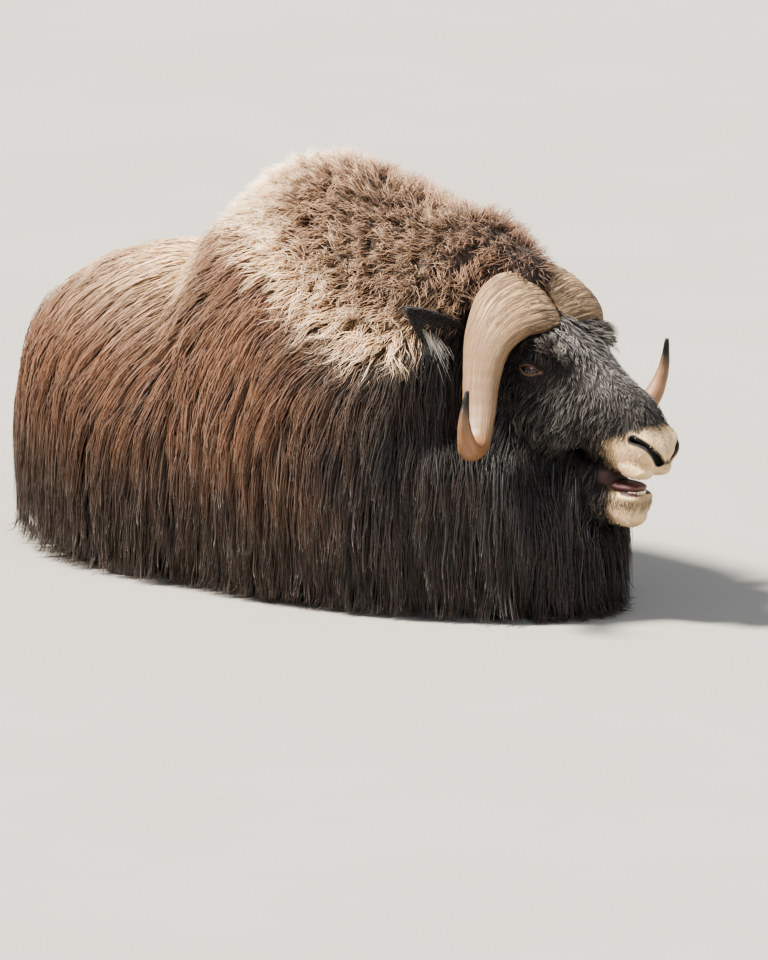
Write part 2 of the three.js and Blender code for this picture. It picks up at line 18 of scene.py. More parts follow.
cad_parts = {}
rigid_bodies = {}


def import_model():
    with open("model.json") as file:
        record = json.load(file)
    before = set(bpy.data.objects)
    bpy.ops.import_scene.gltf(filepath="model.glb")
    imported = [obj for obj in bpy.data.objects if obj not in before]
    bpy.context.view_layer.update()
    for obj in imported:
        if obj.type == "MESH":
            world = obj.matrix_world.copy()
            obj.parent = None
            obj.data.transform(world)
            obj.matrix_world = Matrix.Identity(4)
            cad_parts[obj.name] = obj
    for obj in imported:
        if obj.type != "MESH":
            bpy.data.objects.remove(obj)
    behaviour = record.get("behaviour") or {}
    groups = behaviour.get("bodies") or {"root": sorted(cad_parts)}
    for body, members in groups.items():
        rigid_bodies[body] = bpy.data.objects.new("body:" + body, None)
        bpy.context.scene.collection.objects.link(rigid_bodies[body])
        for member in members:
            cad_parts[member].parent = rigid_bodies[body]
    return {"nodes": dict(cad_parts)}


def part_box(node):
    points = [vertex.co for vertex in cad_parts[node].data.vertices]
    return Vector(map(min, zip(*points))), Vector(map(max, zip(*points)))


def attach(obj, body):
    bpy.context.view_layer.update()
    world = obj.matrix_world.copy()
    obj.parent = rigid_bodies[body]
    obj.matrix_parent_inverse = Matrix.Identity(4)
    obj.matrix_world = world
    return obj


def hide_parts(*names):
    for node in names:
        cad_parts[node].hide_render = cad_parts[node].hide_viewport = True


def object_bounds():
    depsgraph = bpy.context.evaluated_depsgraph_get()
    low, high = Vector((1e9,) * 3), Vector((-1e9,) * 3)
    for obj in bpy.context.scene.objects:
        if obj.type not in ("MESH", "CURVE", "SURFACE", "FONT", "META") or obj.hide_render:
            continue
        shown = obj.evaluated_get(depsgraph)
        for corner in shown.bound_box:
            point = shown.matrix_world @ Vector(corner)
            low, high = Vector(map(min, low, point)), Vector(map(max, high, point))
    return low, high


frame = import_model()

cad_box = [list(corner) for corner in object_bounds()]
print("block model, metres:", [round(b - a, 3) for a, b in zip(*cad_box)])

# %% [markdown]
# ## Places on the animal
# It is easier to think in how far forward, how far out to the animal's right and how high a place is than in X,
# Y and Z. One eye tells where these measures start, because its middle is known in both.

# %% Forward, side and up
EYE = {"forward": 0.711, "side": 0.111, "up": 0.550, "radius": 0.022}
SIDES = ((1, "right"), (-1, "left"))  # side counts up to the animal's right
low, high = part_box("eye_right")
SHIFT = np.array([(low.x + high.x) / 2 + EYE["side"], (low.y + high.y) / 2 + EYE["forward"], 0.0])


def at(forward, side, up):
    """The place in X, Y and Z that lies so far forward, to the right and up."""
    return SHIFT + np.stack([-np.asarray(side), -np.asarray(forward), np.asarray(up)], -1).astype(float)


def way(forward, side, up):
    """A direction of length one, by the same three measures."""
    made = np.array([-side, -forward, up], float)
    return made / np.linalg.norm(made)


def unit(vectors):
    """The same directions, each of length one."""
    return vectors / np.maximum(np.linalg.norm(vectors, axis=-1, keepdims=True), 1e-9)


def places(points):
    """Forward, side and up of points."""
    moved = np.asarray(points) - SHIFT
    return -moved[..., 1], -moved[..., 0], moved[..., 2]


def smooth(value, low, high):
    """0 below low, 1 above high, and a soft step between."""
    share = np.clip((value - low) / (high - low), 0, 1)
    return share * share * (3 - 2 * share)


def between(value, table):
    """Reads a table of pairs at any value, with straight lines between its pairs."""
    return np.interp(value, *zip(*table))


print("the measures start at", SHIFT.round(4))

# %% [markdown]
# ## Camera
# The animal is seen from its right and a little in front, from far off with a long lens, so near and far parts
# keep almost the same size. The lens is longer than most, as for wildlife.

# %% Camera
VIEW_AZIMUTH, VIEW_HEIGHT = math.radians(-52), math.radians(12)
VIEW_DISTANCE, VIEW_LENS = 60.0, 1033.6
LOOKED_AT = at(0.212, 0, 0.223)
flat = math.cos(VIEW_HEIGHT)
towards_camera = np.array(
    [math.sin(VIEW_AZIMUTH) * flat, -math.cos(VIEW_AZIMUTH) * flat, math.sin(VIEW_HEIGHT)]
)
camera = bpy.data.objects.new("camera", bpy.data.cameras.new("camera"))
bpy.context.scene.collection.objects.link(camera)
camera.data.lens = VIEW_LENS
camera.data.clip_end = 200
camera.location = LOOKED_AT + VIEW_DISTANCE * towards_camera
camera.rotation_euler = Vector(-towards_camera).to_track_quat("-Z", "Y").to_euler()
bpy.context.scene.camera = camera
print("camera at", [round(v, 2) for v in camera.location])

# %% [markdown]
# ## Light
# A sun with a wide disc gives soft shadows and lights a large floor evenly. It stands high behind the animal's
# right hip, at the left of the picture, so the saddle and the rear of the hump glow. The sky and a weak second
# sun in front fill the side that is seen.

# %% Light
def sun(name, azimuth, height, strength, width, colour):
    """A sun that shines from an azimuth and a height, its disc that many degrees wide."""
    lamp = bpy.data.objects.new(name, bpy.data.lights.new(name, "SUN"))
    bpy.context.scene.collection.objects.link(lamp)
    lamp.data.energy, lamp.data.angle, lamp.data.color = strength, math.radians(width), colour
    a, h = math.radians(azimuth), math.radians(height)
    away = Vector((math.sin(a) * math.cos(h), -math.cos(a) * math.cos(h), math.sin(h)))
    lamp.rotation_euler = away.to_track_quat("Z", "Y").to_euler()


sun("key_light", -138, 56, 17.5, 10, (1.0, 0.94, 0.85))
sun("fill_light", -24, 34, 1.7, 40, (0.95, 0.97, 1.0))
world = bpy.data.worlds.new("sky")
world.use_nodes = True
sky = world.node_tree.nodes["Background"].inputs
sky["Color"].default_value, sky["Strength"].default_value = (0.86, 0.92, 1.0, 1), 0.70
bpy.context.scene.world = world
bpy.context.scene.view_settings.view_transform = "AgX"
bpy.context.scene.view_settings.look = "AgX - Medium High Contrast"
print("suns:", len(bpy.data.lights))

# %% [markdown]
# ## Meshes from arrays
# Nearly every piece here is worked out as arrays of points, so a few helpers turn arrays into meshes and back.
# Blender's own operators add one thing at a time, which would take far too long for a whole coat.

# %% Mesh helpers
def mesh_object(name, points, faces, material=None):
    """A mesh object from arrays: points, and faces that all have the same number of corners."""
    points, faces = np.asarray(points, np.float32), np.asarray(faces, np.int32)
    mesh = bpy.data.meshes.new(name)
    mesh.vertices.add(len(points))
    mesh.vertices.foreach_set("co", points.ravel())
    mesh.loops.add(faces.size)
    mesh.loops.foreach_set("vertex_index", faces.ravel())
    mesh.polygons.add(len(faces))
    mesh.polygons.foreach_set("loop_start", np.arange(0, faces.size, faces.shape[1], dtype=np.int32))
    mesh.polygons.foreach_set("use_smooth", np.ones(len(faces), bool))
    mesh.update(calc_edges=True)
    made = bpy.data.objects.new(name, mesh)
    bpy.context.scene.collection.objects.link(made)
    if material:
        mesh.materials.append(material)
    return made


def ball(name, segments, rings):
    """A ball of radius one."""
    mesh = bpy.data.meshes.new(name)
    made = bmesh.new()
    bmesh.ops.create_uvsphere(made, u_segments=segments, v_segments=rings, radius=1)
    made.to_mesh(mesh)
    made.free()
    piece = bpy.data.objects.new(name, mesh)
    bpy.context.scene.collection.objects.link(piece)
    return piece


def store(piece, name, columns):
    """Stores three or four values for each point of a piece, which its material reads as a colour."""
    values = np.ones((len(piece.data.vertices), 4), np.float32)
    for k, column in enumerate(columns):
        values[:, k] = column
    piece.data.attributes.new(name, "FLOAT_COLOR", "POINT").data.foreach_set("color", values.ravel())


def corners_of(piece):
    """The points of a piece, as an array."""
    found = np.empty(len(piece.data.vertices) * 3, np.float32)
    piece.data.vertices.foreach_get("co", found)
    return found.reshape(-1, 3).astype(float)


def move_corners(piece, points):
    """Puts the points of a piece in new places."""
    piece.data.vertices.foreach_set("co", np.asarray(points, np.float32).ravel())
    piece.data.update()


def tube(name, rings, tip=None):
    """A closed tube through rings of points, with a fan over each end."""
    rings = np.asarray(rings, float)
    count, sides, _ = rings.shape
    ends = [rings[0].mean(0), rings[-1].mean(0) if tip is None else tip]
    points = np.concatenate([rings.reshape(-1, 3), ends])
    ring, k = np.meshgrid(np.arange(count - 1), np.arange(sides), indexing="ij")
    a, b = ring * sides + k, ring * sides + (k + 1) % sides
    walls = np.stack([a, b, b + sides, a, b + sides, a + sides], -1).reshape(-1, 3)
    around, beyond = np.arange(sides), (np.arange(sides) + 1) % sides
    last = (count - 1) * sides
    first_fan = np.stack([np.full(sides, count * sides), beyond, around], -1)
    last_fan = np.stack([np.full(sides, count * sides + 1), last + around, last + beyond], -1)
    return mesh_object(name, points, np.concatenate([walls, first_fan, last_fan]))


def apply_modifier(piece, kind, **settings):
    """Adds a modifier of that kind and makes its result the piece's own mesh."""
    modifier = piece.modifiers.new(kind.lower(), kind)
    for key, value in settings.items():
        setattr(modifier, key, value)
    with bpy.context.temp_override(object=piece, active_object=piece):
        bpy.ops.object.modifier_apply(modifier=modifier.name)


def join(pieces, name):
    """One object from several."""
    with bpy.context.temp_override(active_object=pieces[0], selected_editable_objects=pieces):
        bpy.ops.object.join()
    pieces[0].name = pieces[0].data.name = name
    return pieces[0]


FAR = 30  # metres from the middle of the floor to its edges
floor = mesh_object("floor", [(-FAR, -FAR, 0), (FAR, -FAR, 0), (FAR, FAR, 0), (-FAR, FAR, 0)], [(0, 1, 2, 3)])
print("floor:", 2 * FAR, "metres wide")

# %% [markdown]
# ## Trunk
# The animal's trunk is a row of sections from rump to throat. Each section is round over the back and hangs
# straight down from its widest level. The tables give the outline of the coat, and the skin lies under it by the
# depth of the hair. Tubes through the sections are fused and smoothed into one body.

# %% Sections of the trunk
BACK = {
    "roundness": 2.15,
    "depth": (0.038, 0.062),
    "rows": [
        (-0.765, 0.280, 0.035, 0.240),
        (-0.745, 0.382, 0.090, 0.255),
        (-0.700, 0.482, 0.146, 0.270),
        (-0.620, 0.578, 0.228, 0.280),
        (-0.500, 0.662, 0.308, 0.290),
        (-0.350, 0.702, 0.376, 0.300),
        (-0.120, 0.708, 0.408, 0.300),
    ],
}
MANE = {
    "roundness": 1.9,
    "depth": (0.060, 0.066),
    "rows": [
        (-0.190, 0.710, 0.370, 0.330),
        (-0.132, 0.828, 0.388, 0.340),
        (-0.020, 0.928, 0.410, 0.340),
        (0.080, 0.952, 0.412, 0.340),
        (0.200, 0.938, 0.405, 0.345),
        (0.350, 0.890, 0.388, 0.350),
        (0.440, 0.878, 0.368, 0.350),
    ],
}
CREST = {
    "roundness": 1.9,
    "depth": (0.045, 0.052),
    "rows": [
        (0.430, 0.880, 0.366, 0.350),
        (0.470, 0.872, 0.300, 0.420),
        (0.515, 0.861, 0.196, 0.500),
        (0.560, 0.848, 0.158, 0.540),
        (0.620, 0.826, 0.142, 0.560),
        (0.665, 0.792, 0.105, 0.580),
    ],
}
THROAT = {
    "roundness": 2.0,
    "depth": (0.050, 0.060),
    "rows": [
        (0.430, 0.600, 0.366, 0.300),
        (0.500, 0.525, 0.332, 0.280),
        (0.560, 0.475, 0.298, 0.262),
        (0.640, 0.432, 0.256, 0.245),
        (0.720, 0.396, 0.200, 0.225),
        (0.780, 0.340, 0.122, 0.200),
        (0.805, 0.260, 0.045, 0.180),
    ],
}
BELLY_TUCK = 0.3  # how far the sides draw in towards the ground, as a share of the half width


def row_at(rows, position):
    """Smooth values between the rows of a table, by row number."""
    rows = np.asarray(rows, float)
    i = int(np.clip(math.floor(position), 0, len(rows) - 2))
    t = float(np.clip(position - i, 0, 1))
    before, start, end, after = (rows[np.clip(k, 0, len(rows) - 1)] for k in (i - 1, i, i + 1, i + 2))
    leave, arrive, rise = (end - before) / 2, (after - start) / 2, end - start
    return start + t * (leave + t * (3 * rise - 2 * leave - arrive + t * (leave + arrive - 2 * rise)))


def row_where(rows, forward):
    """Smooth values between the rows of a table, by its first column."""
    starts = [row[0] for row in rows]
    i = int(np.clip(np.searchsorted(starts, forward) - 1, 0, len(rows) - 2))
    return row_at(rows, i + (forward - starts[i]) / (starts[i + 1] - starts[i]))


def trunk(name, coat, start, end, count):
    """A tube through the sections of a table, set in from the outline by the depth of its coat."""
    over, under = 16, 8  # corners of a section over its widest level, and under it, on each side
    rings = []
    for forward in np.linspace(start, end, count):
        _, top, half, widest = row_where(coat["rows"], forward)
        turn = np.linspace(0, math.pi / 2, over)
        down = np.linspace(0, 1, under + 1)[1:]
        reach = half * max(1 - coat["depth"][1] / half, 0.3)
        power = 2 / coat["roundness"]
        out = np.concatenate([np.sin(turn) ** power, 1 - BELLY_TUCK * down**2]) * reach
        arch = np.abs(np.cos(turn)) ** power
        up = np.concatenate([widest + arch * (top - coat["depth"][0] - widest), widest * (1 - down)])
        right = at(np.full(len(out), forward), out, up)
        left = at(np.full(len(out), forward), -out, up)
        rings.append(np.concatenate([right, left[:0:-1]]))
    return tube(name, rings)


print("sections of the trunk:", sum(len(coat["rows"]) for coat in (BACK, MANE, CREST, THROAT)))

# %% [markdown]
# ## Legs and tail
# The legs are folded: a thick upper part runs from the trunk to the knee or hock, and a thin lower part lies
# back along the ground. Each is a round tube through three centres, which is enough under so deep a coat.

# %% Legs and tail
FORELEG = [
    [(0.420, 0.196, 0.112, 0.056), (0.560, 0.176, 0.070, 0.049), (0.696, 0.152, 0.047, 0.045)],
    [(0.700, 0.126, 0.042, 0.042), (0.580, 0.108, 0.036, 0.031), (0.452, 0.104, 0.032, 0.032)],
]
HINDLEG = [
    [(-0.300, 0.230, 0.112, 0.062), (-0.430, 0.196, 0.076, 0.048), (-0.545, 0.150, 0.050, 0.042)],
    [(-0.546, 0.178, 0.046, 0.040), (-0.455, 0.232, 0.038, 0.031), (-0.330, 0.262, 0.034, 0.033)],
]
TAIL = [(-0.620, 0, 0.525, 0.030), (-0.688, 0, 0.468, 0.026), (-0.726, 0, 0.404, 0.021), (-0.740, 0, 0.345, 0.014)]


def run_at(rows, position, side):
    """The direction in which a row of sections runs, taken from a little ahead and a little behind."""
    ahead, behind = (row_at(rows, position + shift)[:3] for shift in (0.05, -0.05))
    run = at(ahead[0], side * ahead[1], ahead[2]) - at(behind[0], side * behind[1], behind[2])
    return run / np.linalg.norm(run)


def round_tube(name, rows, side=1, count=14, sides=16):
    """A tube round a line of centres, each with a radius."""
    rings = []
    for position in np.linspace(0, len(rows) - 1, count):
        forward, out, up, radius = row_at(rows, position)
        along = run_at(rows, position, side)
        across = np.cross(along, (0.02, 0.03, 1))
        across /= np.linalg.norm(across)
        lift = np.cross(across, along)
        turn = np.linspace(0, 2 * math.pi, sides, endpoint=False)[:, None]
        rings.append(at(forward, side * out, up) + radius * (np.cos(turn) * across + np.sin(turn) * lift))
    return tube(name, rings)


body_parts = [
    trunk("rump_part", BACK, -0.730, -0.13, 26),
    trunk("mane_part", MANE, -0.182, 0.445, 26),
    trunk("crest_part", CREST, 0.432, 0.650, 12),
    trunk("throat_part", THROAT, 0.432, 0.795, 16),
    round_tube("tail_part", TAIL),
]
for side, _ in SIDES:
    for runs in (FORELEG, HINDLEG):
        body_parts += [round_tube("leg_part", rows, side) for rows in runs]
body = join(body_parts, "body_form")
apply_modifier(body, "REMESH", mode="VOXEL", voxel_size=0.011)
apply_modifier(body, "SMOOTH", factor=0.5, iterations=10)
print("body:", len(body.data.polygons), "faces")

# %% [markdown]
# ## Head
# The head is a long box with rounded edges: a flat brow, cheeks deep as a hand is wide, and a broad muzzle. It
# is fused from tubes and swellings at a fine grain, then its eyes, nostrils and lips are pressed in by moving
# the points of the mesh, as a sculptor does with a thumb.

# %% Sections of the head and jaw
HEAD_ROWS = [
    (0.500, 0.680, 0.482, 0.570, 0.060),
    (0.570, 0.708, 0.556, 0.496, 0.108),
    (0.648, 0.688, 0.612, 0.450, 0.126),
    (0.722, 0.640, 0.666, 0.424, 0.124),
    (0.780, 0.598, 0.722, 0.396, 0.110),
    (0.830, 0.560, 0.776, 0.371, 0.094),
    (0.874, 0.532, 0.820, 0.349, 0.083),
    (0.914, 0.512, 0.865, 0.328, 0.076),
    (0.944, 0.482, 0.905, 0.322, 0.071),
    (0.964, 0.447, 0.940, 0.323, 0.064),
    (0.984, 0.421, 0.964, 0.333, 0.052),
    (0.993, 0.402, 0.984, 0.352, 0.032),
]
JAW_ROWS = [
    (0.668, 0.428, 0.624, 0.352, 0.076),
    (0.730, 0.388, 0.684, 0.300, 0.070),
    (0.796, 0.342, 0.752, 0.256, 0.062),
    (0.850, 0.306, 0.818, 0.222, 0.054),
    (0.888, 0.290, 0.874, 0.208, 0.046),
    (0.916, 0.286, 0.912, 0.224, 0.037),
    (0.930, 0.279, 0.930, 0.254, 0.020),
]
FACE_DEPTH = 0.010  # how far the skin of the face lies under the tips of its fur


def oval_tube(name, rows, count, squareness, inset):
    """A tube through sections given by their top, underside and half width. Above 2, squareness flattens them."""
    sides = 40
    turn = np.linspace(0, 2 * math.pi, sides, endpoint=False)
    upwards, outwards = (np.sign(wave) * np.abs(wave) ** (2 / squareness) for wave in (np.cos(turn), np.sin(turn)))
    rings = []
    for position in np.linspace(0, len(rows) - 1, count):
        top_forward, top_up, low_forward, low_up, half = row_at(rows, position)
        top, under = at(top_forward, 0, top_up), at(low_forward, 0, low_up)
        middle, rise = (top + under) / 2, (top - under) / 2
        rise *= 1 - inset / np.linalg.norm(rise)
        wide = (half - inset) * way(0, 1, 0)
        rings.append(middle + upwards[:, None] * rise + outwards[:, None] * wide)
    return tube(name, rings)


def swelling(name, forward, side, up, radii, tilt=0.0):
    """An egg shape: its half sizes forward, sideways and up, its front tipped down by tilt radians."""
    piece = ball(name, 24, 16)
    points = corners_of(piece) * (radii[1], radii[0], radii[2])
    y, z = points[:, 1].copy(), points[:, 2].copy()
    points[:, 1] = y * math.cos(tilt) - z * math.sin(tilt)
    points[:, 2] = y * math.sin(tilt) + z * math.cos(tilt)
    move_corners(piece, points + at(forward, side, up))
    return piece


head_parts = [
    oval_tube("head_part", HEAD_ROWS, 40, 2.35, FACE_DEPTH),
    oval_tube("jaw_part", JAW_ROWS, 26, 2.3, 0.006),
]
for side, _ in SIDES:
    head_parts += [
        swelling("orbit", 0.692, side * 0.082, 0.553, (0.048, 0.042, 0.044)),
        swelling("brow", 0.704, side * 0.080, 0.590, (0.050, 0.040, 0.026), 0.5),
        swelling("cheek", 0.715, side * 0.060, 0.462, (0.100, 0.054, 0.078), 0.75),
        swelling("nose_side", 0.950, side * 0.036, 0.400, (0.030, 0.030, 0.044), -0.5),
        swelling("lip_side", 0.922, side * 0.030, 0.351, (0.050, 0.029, 0.025), 0.25),
        swelling("lower_lip", 0.898, side * 0.020, 0.276, (0.030, 0.022, 0.016), 0.1),
    ]
head_parts.append(swelling("chin", 0.886, 0, 0.236, (0.038, 0.038, 0.026), 0.1))
head_parts.append(swelling("mouth_back", 0.822, 0, 0.322, (0.050, 0.052, 0.034), 0.3))
head = join(head_parts, "head_form")
apply_modifier(head, "REMESH", mode="VOXEL", voxel_size=0.004)
apply_modifier(head, "SMOOTH", factor=0.5, iterations=6)
print("head:", len(head.data.polygons), "faces")

# %% [markdown]
# ## Finer grain
# Lids and nostrils are only millimetres thick, so the mesh is cut finer round them before they are shaped. The
# rest of the head keeps its coarser grain, because fur covers it.

# %% Finer grain where the features are
def refine(piece, centre, radius):
    """Cuts every edge within a ball in two, for more points to sculpt with."""
    made = bmesh.new()
    made.from_mesh(piece.data)
    near = [e for e in made.edges if all((v.co - Vector(centre)).length < radius for v in e.verts)]
    bmesh.ops.subdivide_edges(made, edges=near, cuts=1, use_grid_fill=True)
    made.to_mesh(piece.data)
    made.free()


eyes = {side: at(EYE["forward"] - 0.010, side * EYE["side"], EYE["up"]) for side, _ in SIDES}
for middle in eyes.values():
    refine(head, middle, 0.044)
    refine(head, middle, 0.034)
refine(head, at(0.955, 0, 0.39), 0.075)
print("head with finer features:", len(head.data.polygons), "faces")

# %% [markdown]
# ## Eyes and lids
# Lids lie on the eyeball and meet in corners, so the opening is an almond. Every point of the skin near the eye
# is moved straight out from the ball's middle: inside the almond to behind the ball, outside it to just in front.

# %% Lids
LID = {
    "length": 0.0205,  # half the opening, corner to middle
    "upper": 0.0100,
    "lower": 0.0070,
    "thickness": 0.0022,
    "rim": 0.0018,
    "fold": 0.0022,
    "ball_behind": 0.0035,
    "reach": (0.024, 0.040),  # where the lids begin and end to fade into the face
}
LID_TILT = math.radians(-12)


def eye_axes(side):
    """Where an eye looks, and the directions along and up its opening."""
    facing = way(0.35, 0.93 * side, 0.05)
    along = np.cross(way(0, 0, 1), facing)
    along /= np.linalg.norm(along)
    if along @ way(1, 0, 0) < 0:
        along = -along
    up = np.cross(along, facing)
    up *= np.sign(up[2])
    c, s = math.cos(LID_TILT), math.sin(LID_TILT)
    return facing, c * along + s * up, c * up - s * along


def inside_lids(x, y):
    """How far inside the almond between the lids a place is, by how far along and up it lies."""
    arch = 1 - np.clip(np.abs(x) / LID["length"], 0, 1) ** 2
    return np.minimum(LID["upper"] * arch - y, y + LID["lower"] * arch)


def shape_lids(points, side):
    """Presses the points round an eye into lids."""
    facing, along, up = eye_axes(side)
    local = points - eyes[side]
    distance = np.linalg.norm(local, axis=1)
    radius = EYE["radius"]
    x, y, z = local @ along, local @ up, local @ facing
    u, v = radius * x / distance, radius * y / distance
    inside = np.where(np.abs(u) < LID["length"], inside_lids(u, v), -(np.abs(u) - LID["length"]) - 0.001)
    lid = radius + LID["thickness"] + LID["rim"] * np.exp(-((inside / 0.003) ** 2))
    lid -= LID["fold"] * np.exp(-(((inside + 0.0075) / 0.0018) ** 2))
    wanted = np.where(inside > 0, radius - LID["ball_behind"], lid)
    weight = (1 - smooth(np.hypot(x, y), *LID["reach"])) * (z > 0)
    moved = distance + (wanted - distance) * weight
    return eyes[side] + local * (moved / distance)[:, None]


points = corners_of(head)
for side, _ in SIDES:
    points = shape_lids(points, side)
print("points of the lids:", int((np.linalg.norm(points - eyes[1], axis=1) < LID["reach"][1]).sum()))

# %% [markdown]
# ## Nostrils
# A nostril is a slanted comma that opens forward and out, and its wing stands proud above it. The points within
# the comma are pushed in one way and those just round it a little the other way, which keeps its edge crisp.

# %% Nostrils
NOSTRIL = {"start": (0.936, 0.056, 0.415), "end": (0.980, 0.020, 0.368), "width": 0.0105, "depth": 0.022}
NOSTRIL_WING = 0.0032


def near_nostril(points, side):
    """How far along a nostril points are, their distance from its line, how far in they are, and the way in."""
    start, end = (at(f, side * s, u) for f, s, u in (NOSTRIL["start"], NOSTRIL["end"]))
    inward = -way(0.62, 0.70 * side, 0.28)
    span = end - start
    share = np.clip((points - start) @ span / (span @ span), 0, 1)
    bow = 0.006 * np.sin(share * math.pi)[:, None] * way(0, 0, 1)
    offset = points - (start + share[:, None] * span + bow)
    deep = offset @ inward
    return share, np.linalg.norm(offset - deep[:, None] * inward, axis=1), deep, inward


for side, name in SIDES:
    share, away, deep, inward = near_nostril(points, side)
    near = np.abs(deep) < 0.03
    width = NOSTRIL["width"] * (0.62 + 0.55 * share)
    hole = (1 - smooth(away, 0.55 * width, width)) * near
    wing = np.exp(-(((away - 1.45 * width) / 0.006) ** 2)) * near
    points = points + inward * (NOSTRIL["depth"] * hole - NOSTRIL_WING * wing)[:, None]
    print(name, "nostril:", int((hole > 0.5).sum()), "points pushed in")

# %% [markdown]
# ## Lips
# The mouth is a little open. Both lips roll out along their edges, and a furrow runs down from between the
# nostrils. The heights of the lips are two short tables, which later also tell where the mouth's flesh shows.

# %% Lips and the line of the mouth
MOUTH_CORNER = 0.846
LIP_ROLL, LIP_FURROW = 0.0035, 0.0040
UPPER_LIP = [(0.84, 0.332), (0.865, 0.328), (0.905, 0.322), (0.94, 0.323), (0.985, 0.350)]
LOWER_LIP = [(0.84, 0.318), (0.85, 0.306), (0.888, 0.290), (0.916, 0.286), (0.93, 0.279)]

forward, out, up = places(points)
opening = smooth(forward, MOUTH_CORNER - 0.012, MOUTH_CORNER + 0.01)
roll = LIP_ROLL * opening * (
    np.exp(-(((up - between(forward, UPPER_LIP) - 0.008) / 0.007) ** 2))
    + np.exp(-(((up - between(forward, LOWER_LIP) + 0.008) / 0.007) ** 2))
)
points = points + roll[:, None] * np.sign(out)[:, None] * way(0, 1, 0) * smooth(np.abs(out), 0.01, 0.03)[:, None]
furrow = np.exp(-((out / 0.0035) ** 2)) * smooth(forward, 0.955, 0.975) * smooth(up, 0.332, 0.352)
points = points + LIP_FURROW * furrow[:, None] * way(-1, 0, 0)
move_corners(head, points)
print("lips roll out by up to", round(float(roll.max()), 4))

# %% [markdown]
# ## One skin
# A Boolean union fuses head and body, so that the skin has no seam at the neck. The points under the floor are
# lifted onto it, because the chest, belly and legs lie flat on the ground.

# %% Fuse head and body
apply_modifier(body, "BOOLEAN", object=head, operation="UNION", solver="MANIFOLD")
bpy.data.objects.remove(head)
skin = body
skin.name = skin.data.name = "skin"
points = corners_of(skin)
points[:, 2] = np.maximum(points[:, 2], 0.0)
move_corners(skin, points)
skin.data.polygons.foreach_set("use_smooth", np.ones(len(skin.data.polygons), bool))
print("skin:", len(skin.data.polygons), "faces")

# %% [markdown]
# ## Markings
# Where the coat is cream, near black, woolly, frosted or white is worked out once, from a place on the animal.
# Skin and hair both ask the same function, so they always agree. The woolly cape has a lower edge that runs from
# the top of the back down across the shoulder to the neck, then up behind the ear.

# %% Markings
CAPE_EDGE = [
    (-0.27, 0.80), (-0.19, 0.745), (-0.10, 0.785), (0.00, 0.775), (0.05, 0.755), (0.09, 0.722), (0.136, 0.682),
    (0.214, 0.645), (0.270, 0.612), (0.313, 0.585), (0.345, 0.562), (0.40, 0.552), (0.44, 0.564), (0.48, 0.606),
    (0.52, 0.655), (0.68, 0.65),
]
CAPE_HANG = [(-0.20, -0.02), (0.00, 0.0), (0.15, 0.022)]  # how far its hair hangs below its lowest roots
HEAD_EDGE = [(0.60, 0.47), (0.64, 0.435), (0.72, 0.39), (0.78, 0.33), (0.81, 0.15)]


def above_cape_edge(points):
    """How far above the edge of the cape points are."""
    forward, _, up = places(points)
    return up - between(forward, CAPE_EDGE) - between(forward, CAPE_HANG)


def on_head(points):
    """True in front of the line where the short hair of the head begins."""
    forward, _, up = places(points)
    crest = (forward < 0.70) & (up > 0.705)
    return (forward > 0.60) & (up > between(forward, HEAD_EDGE)) & ~crest


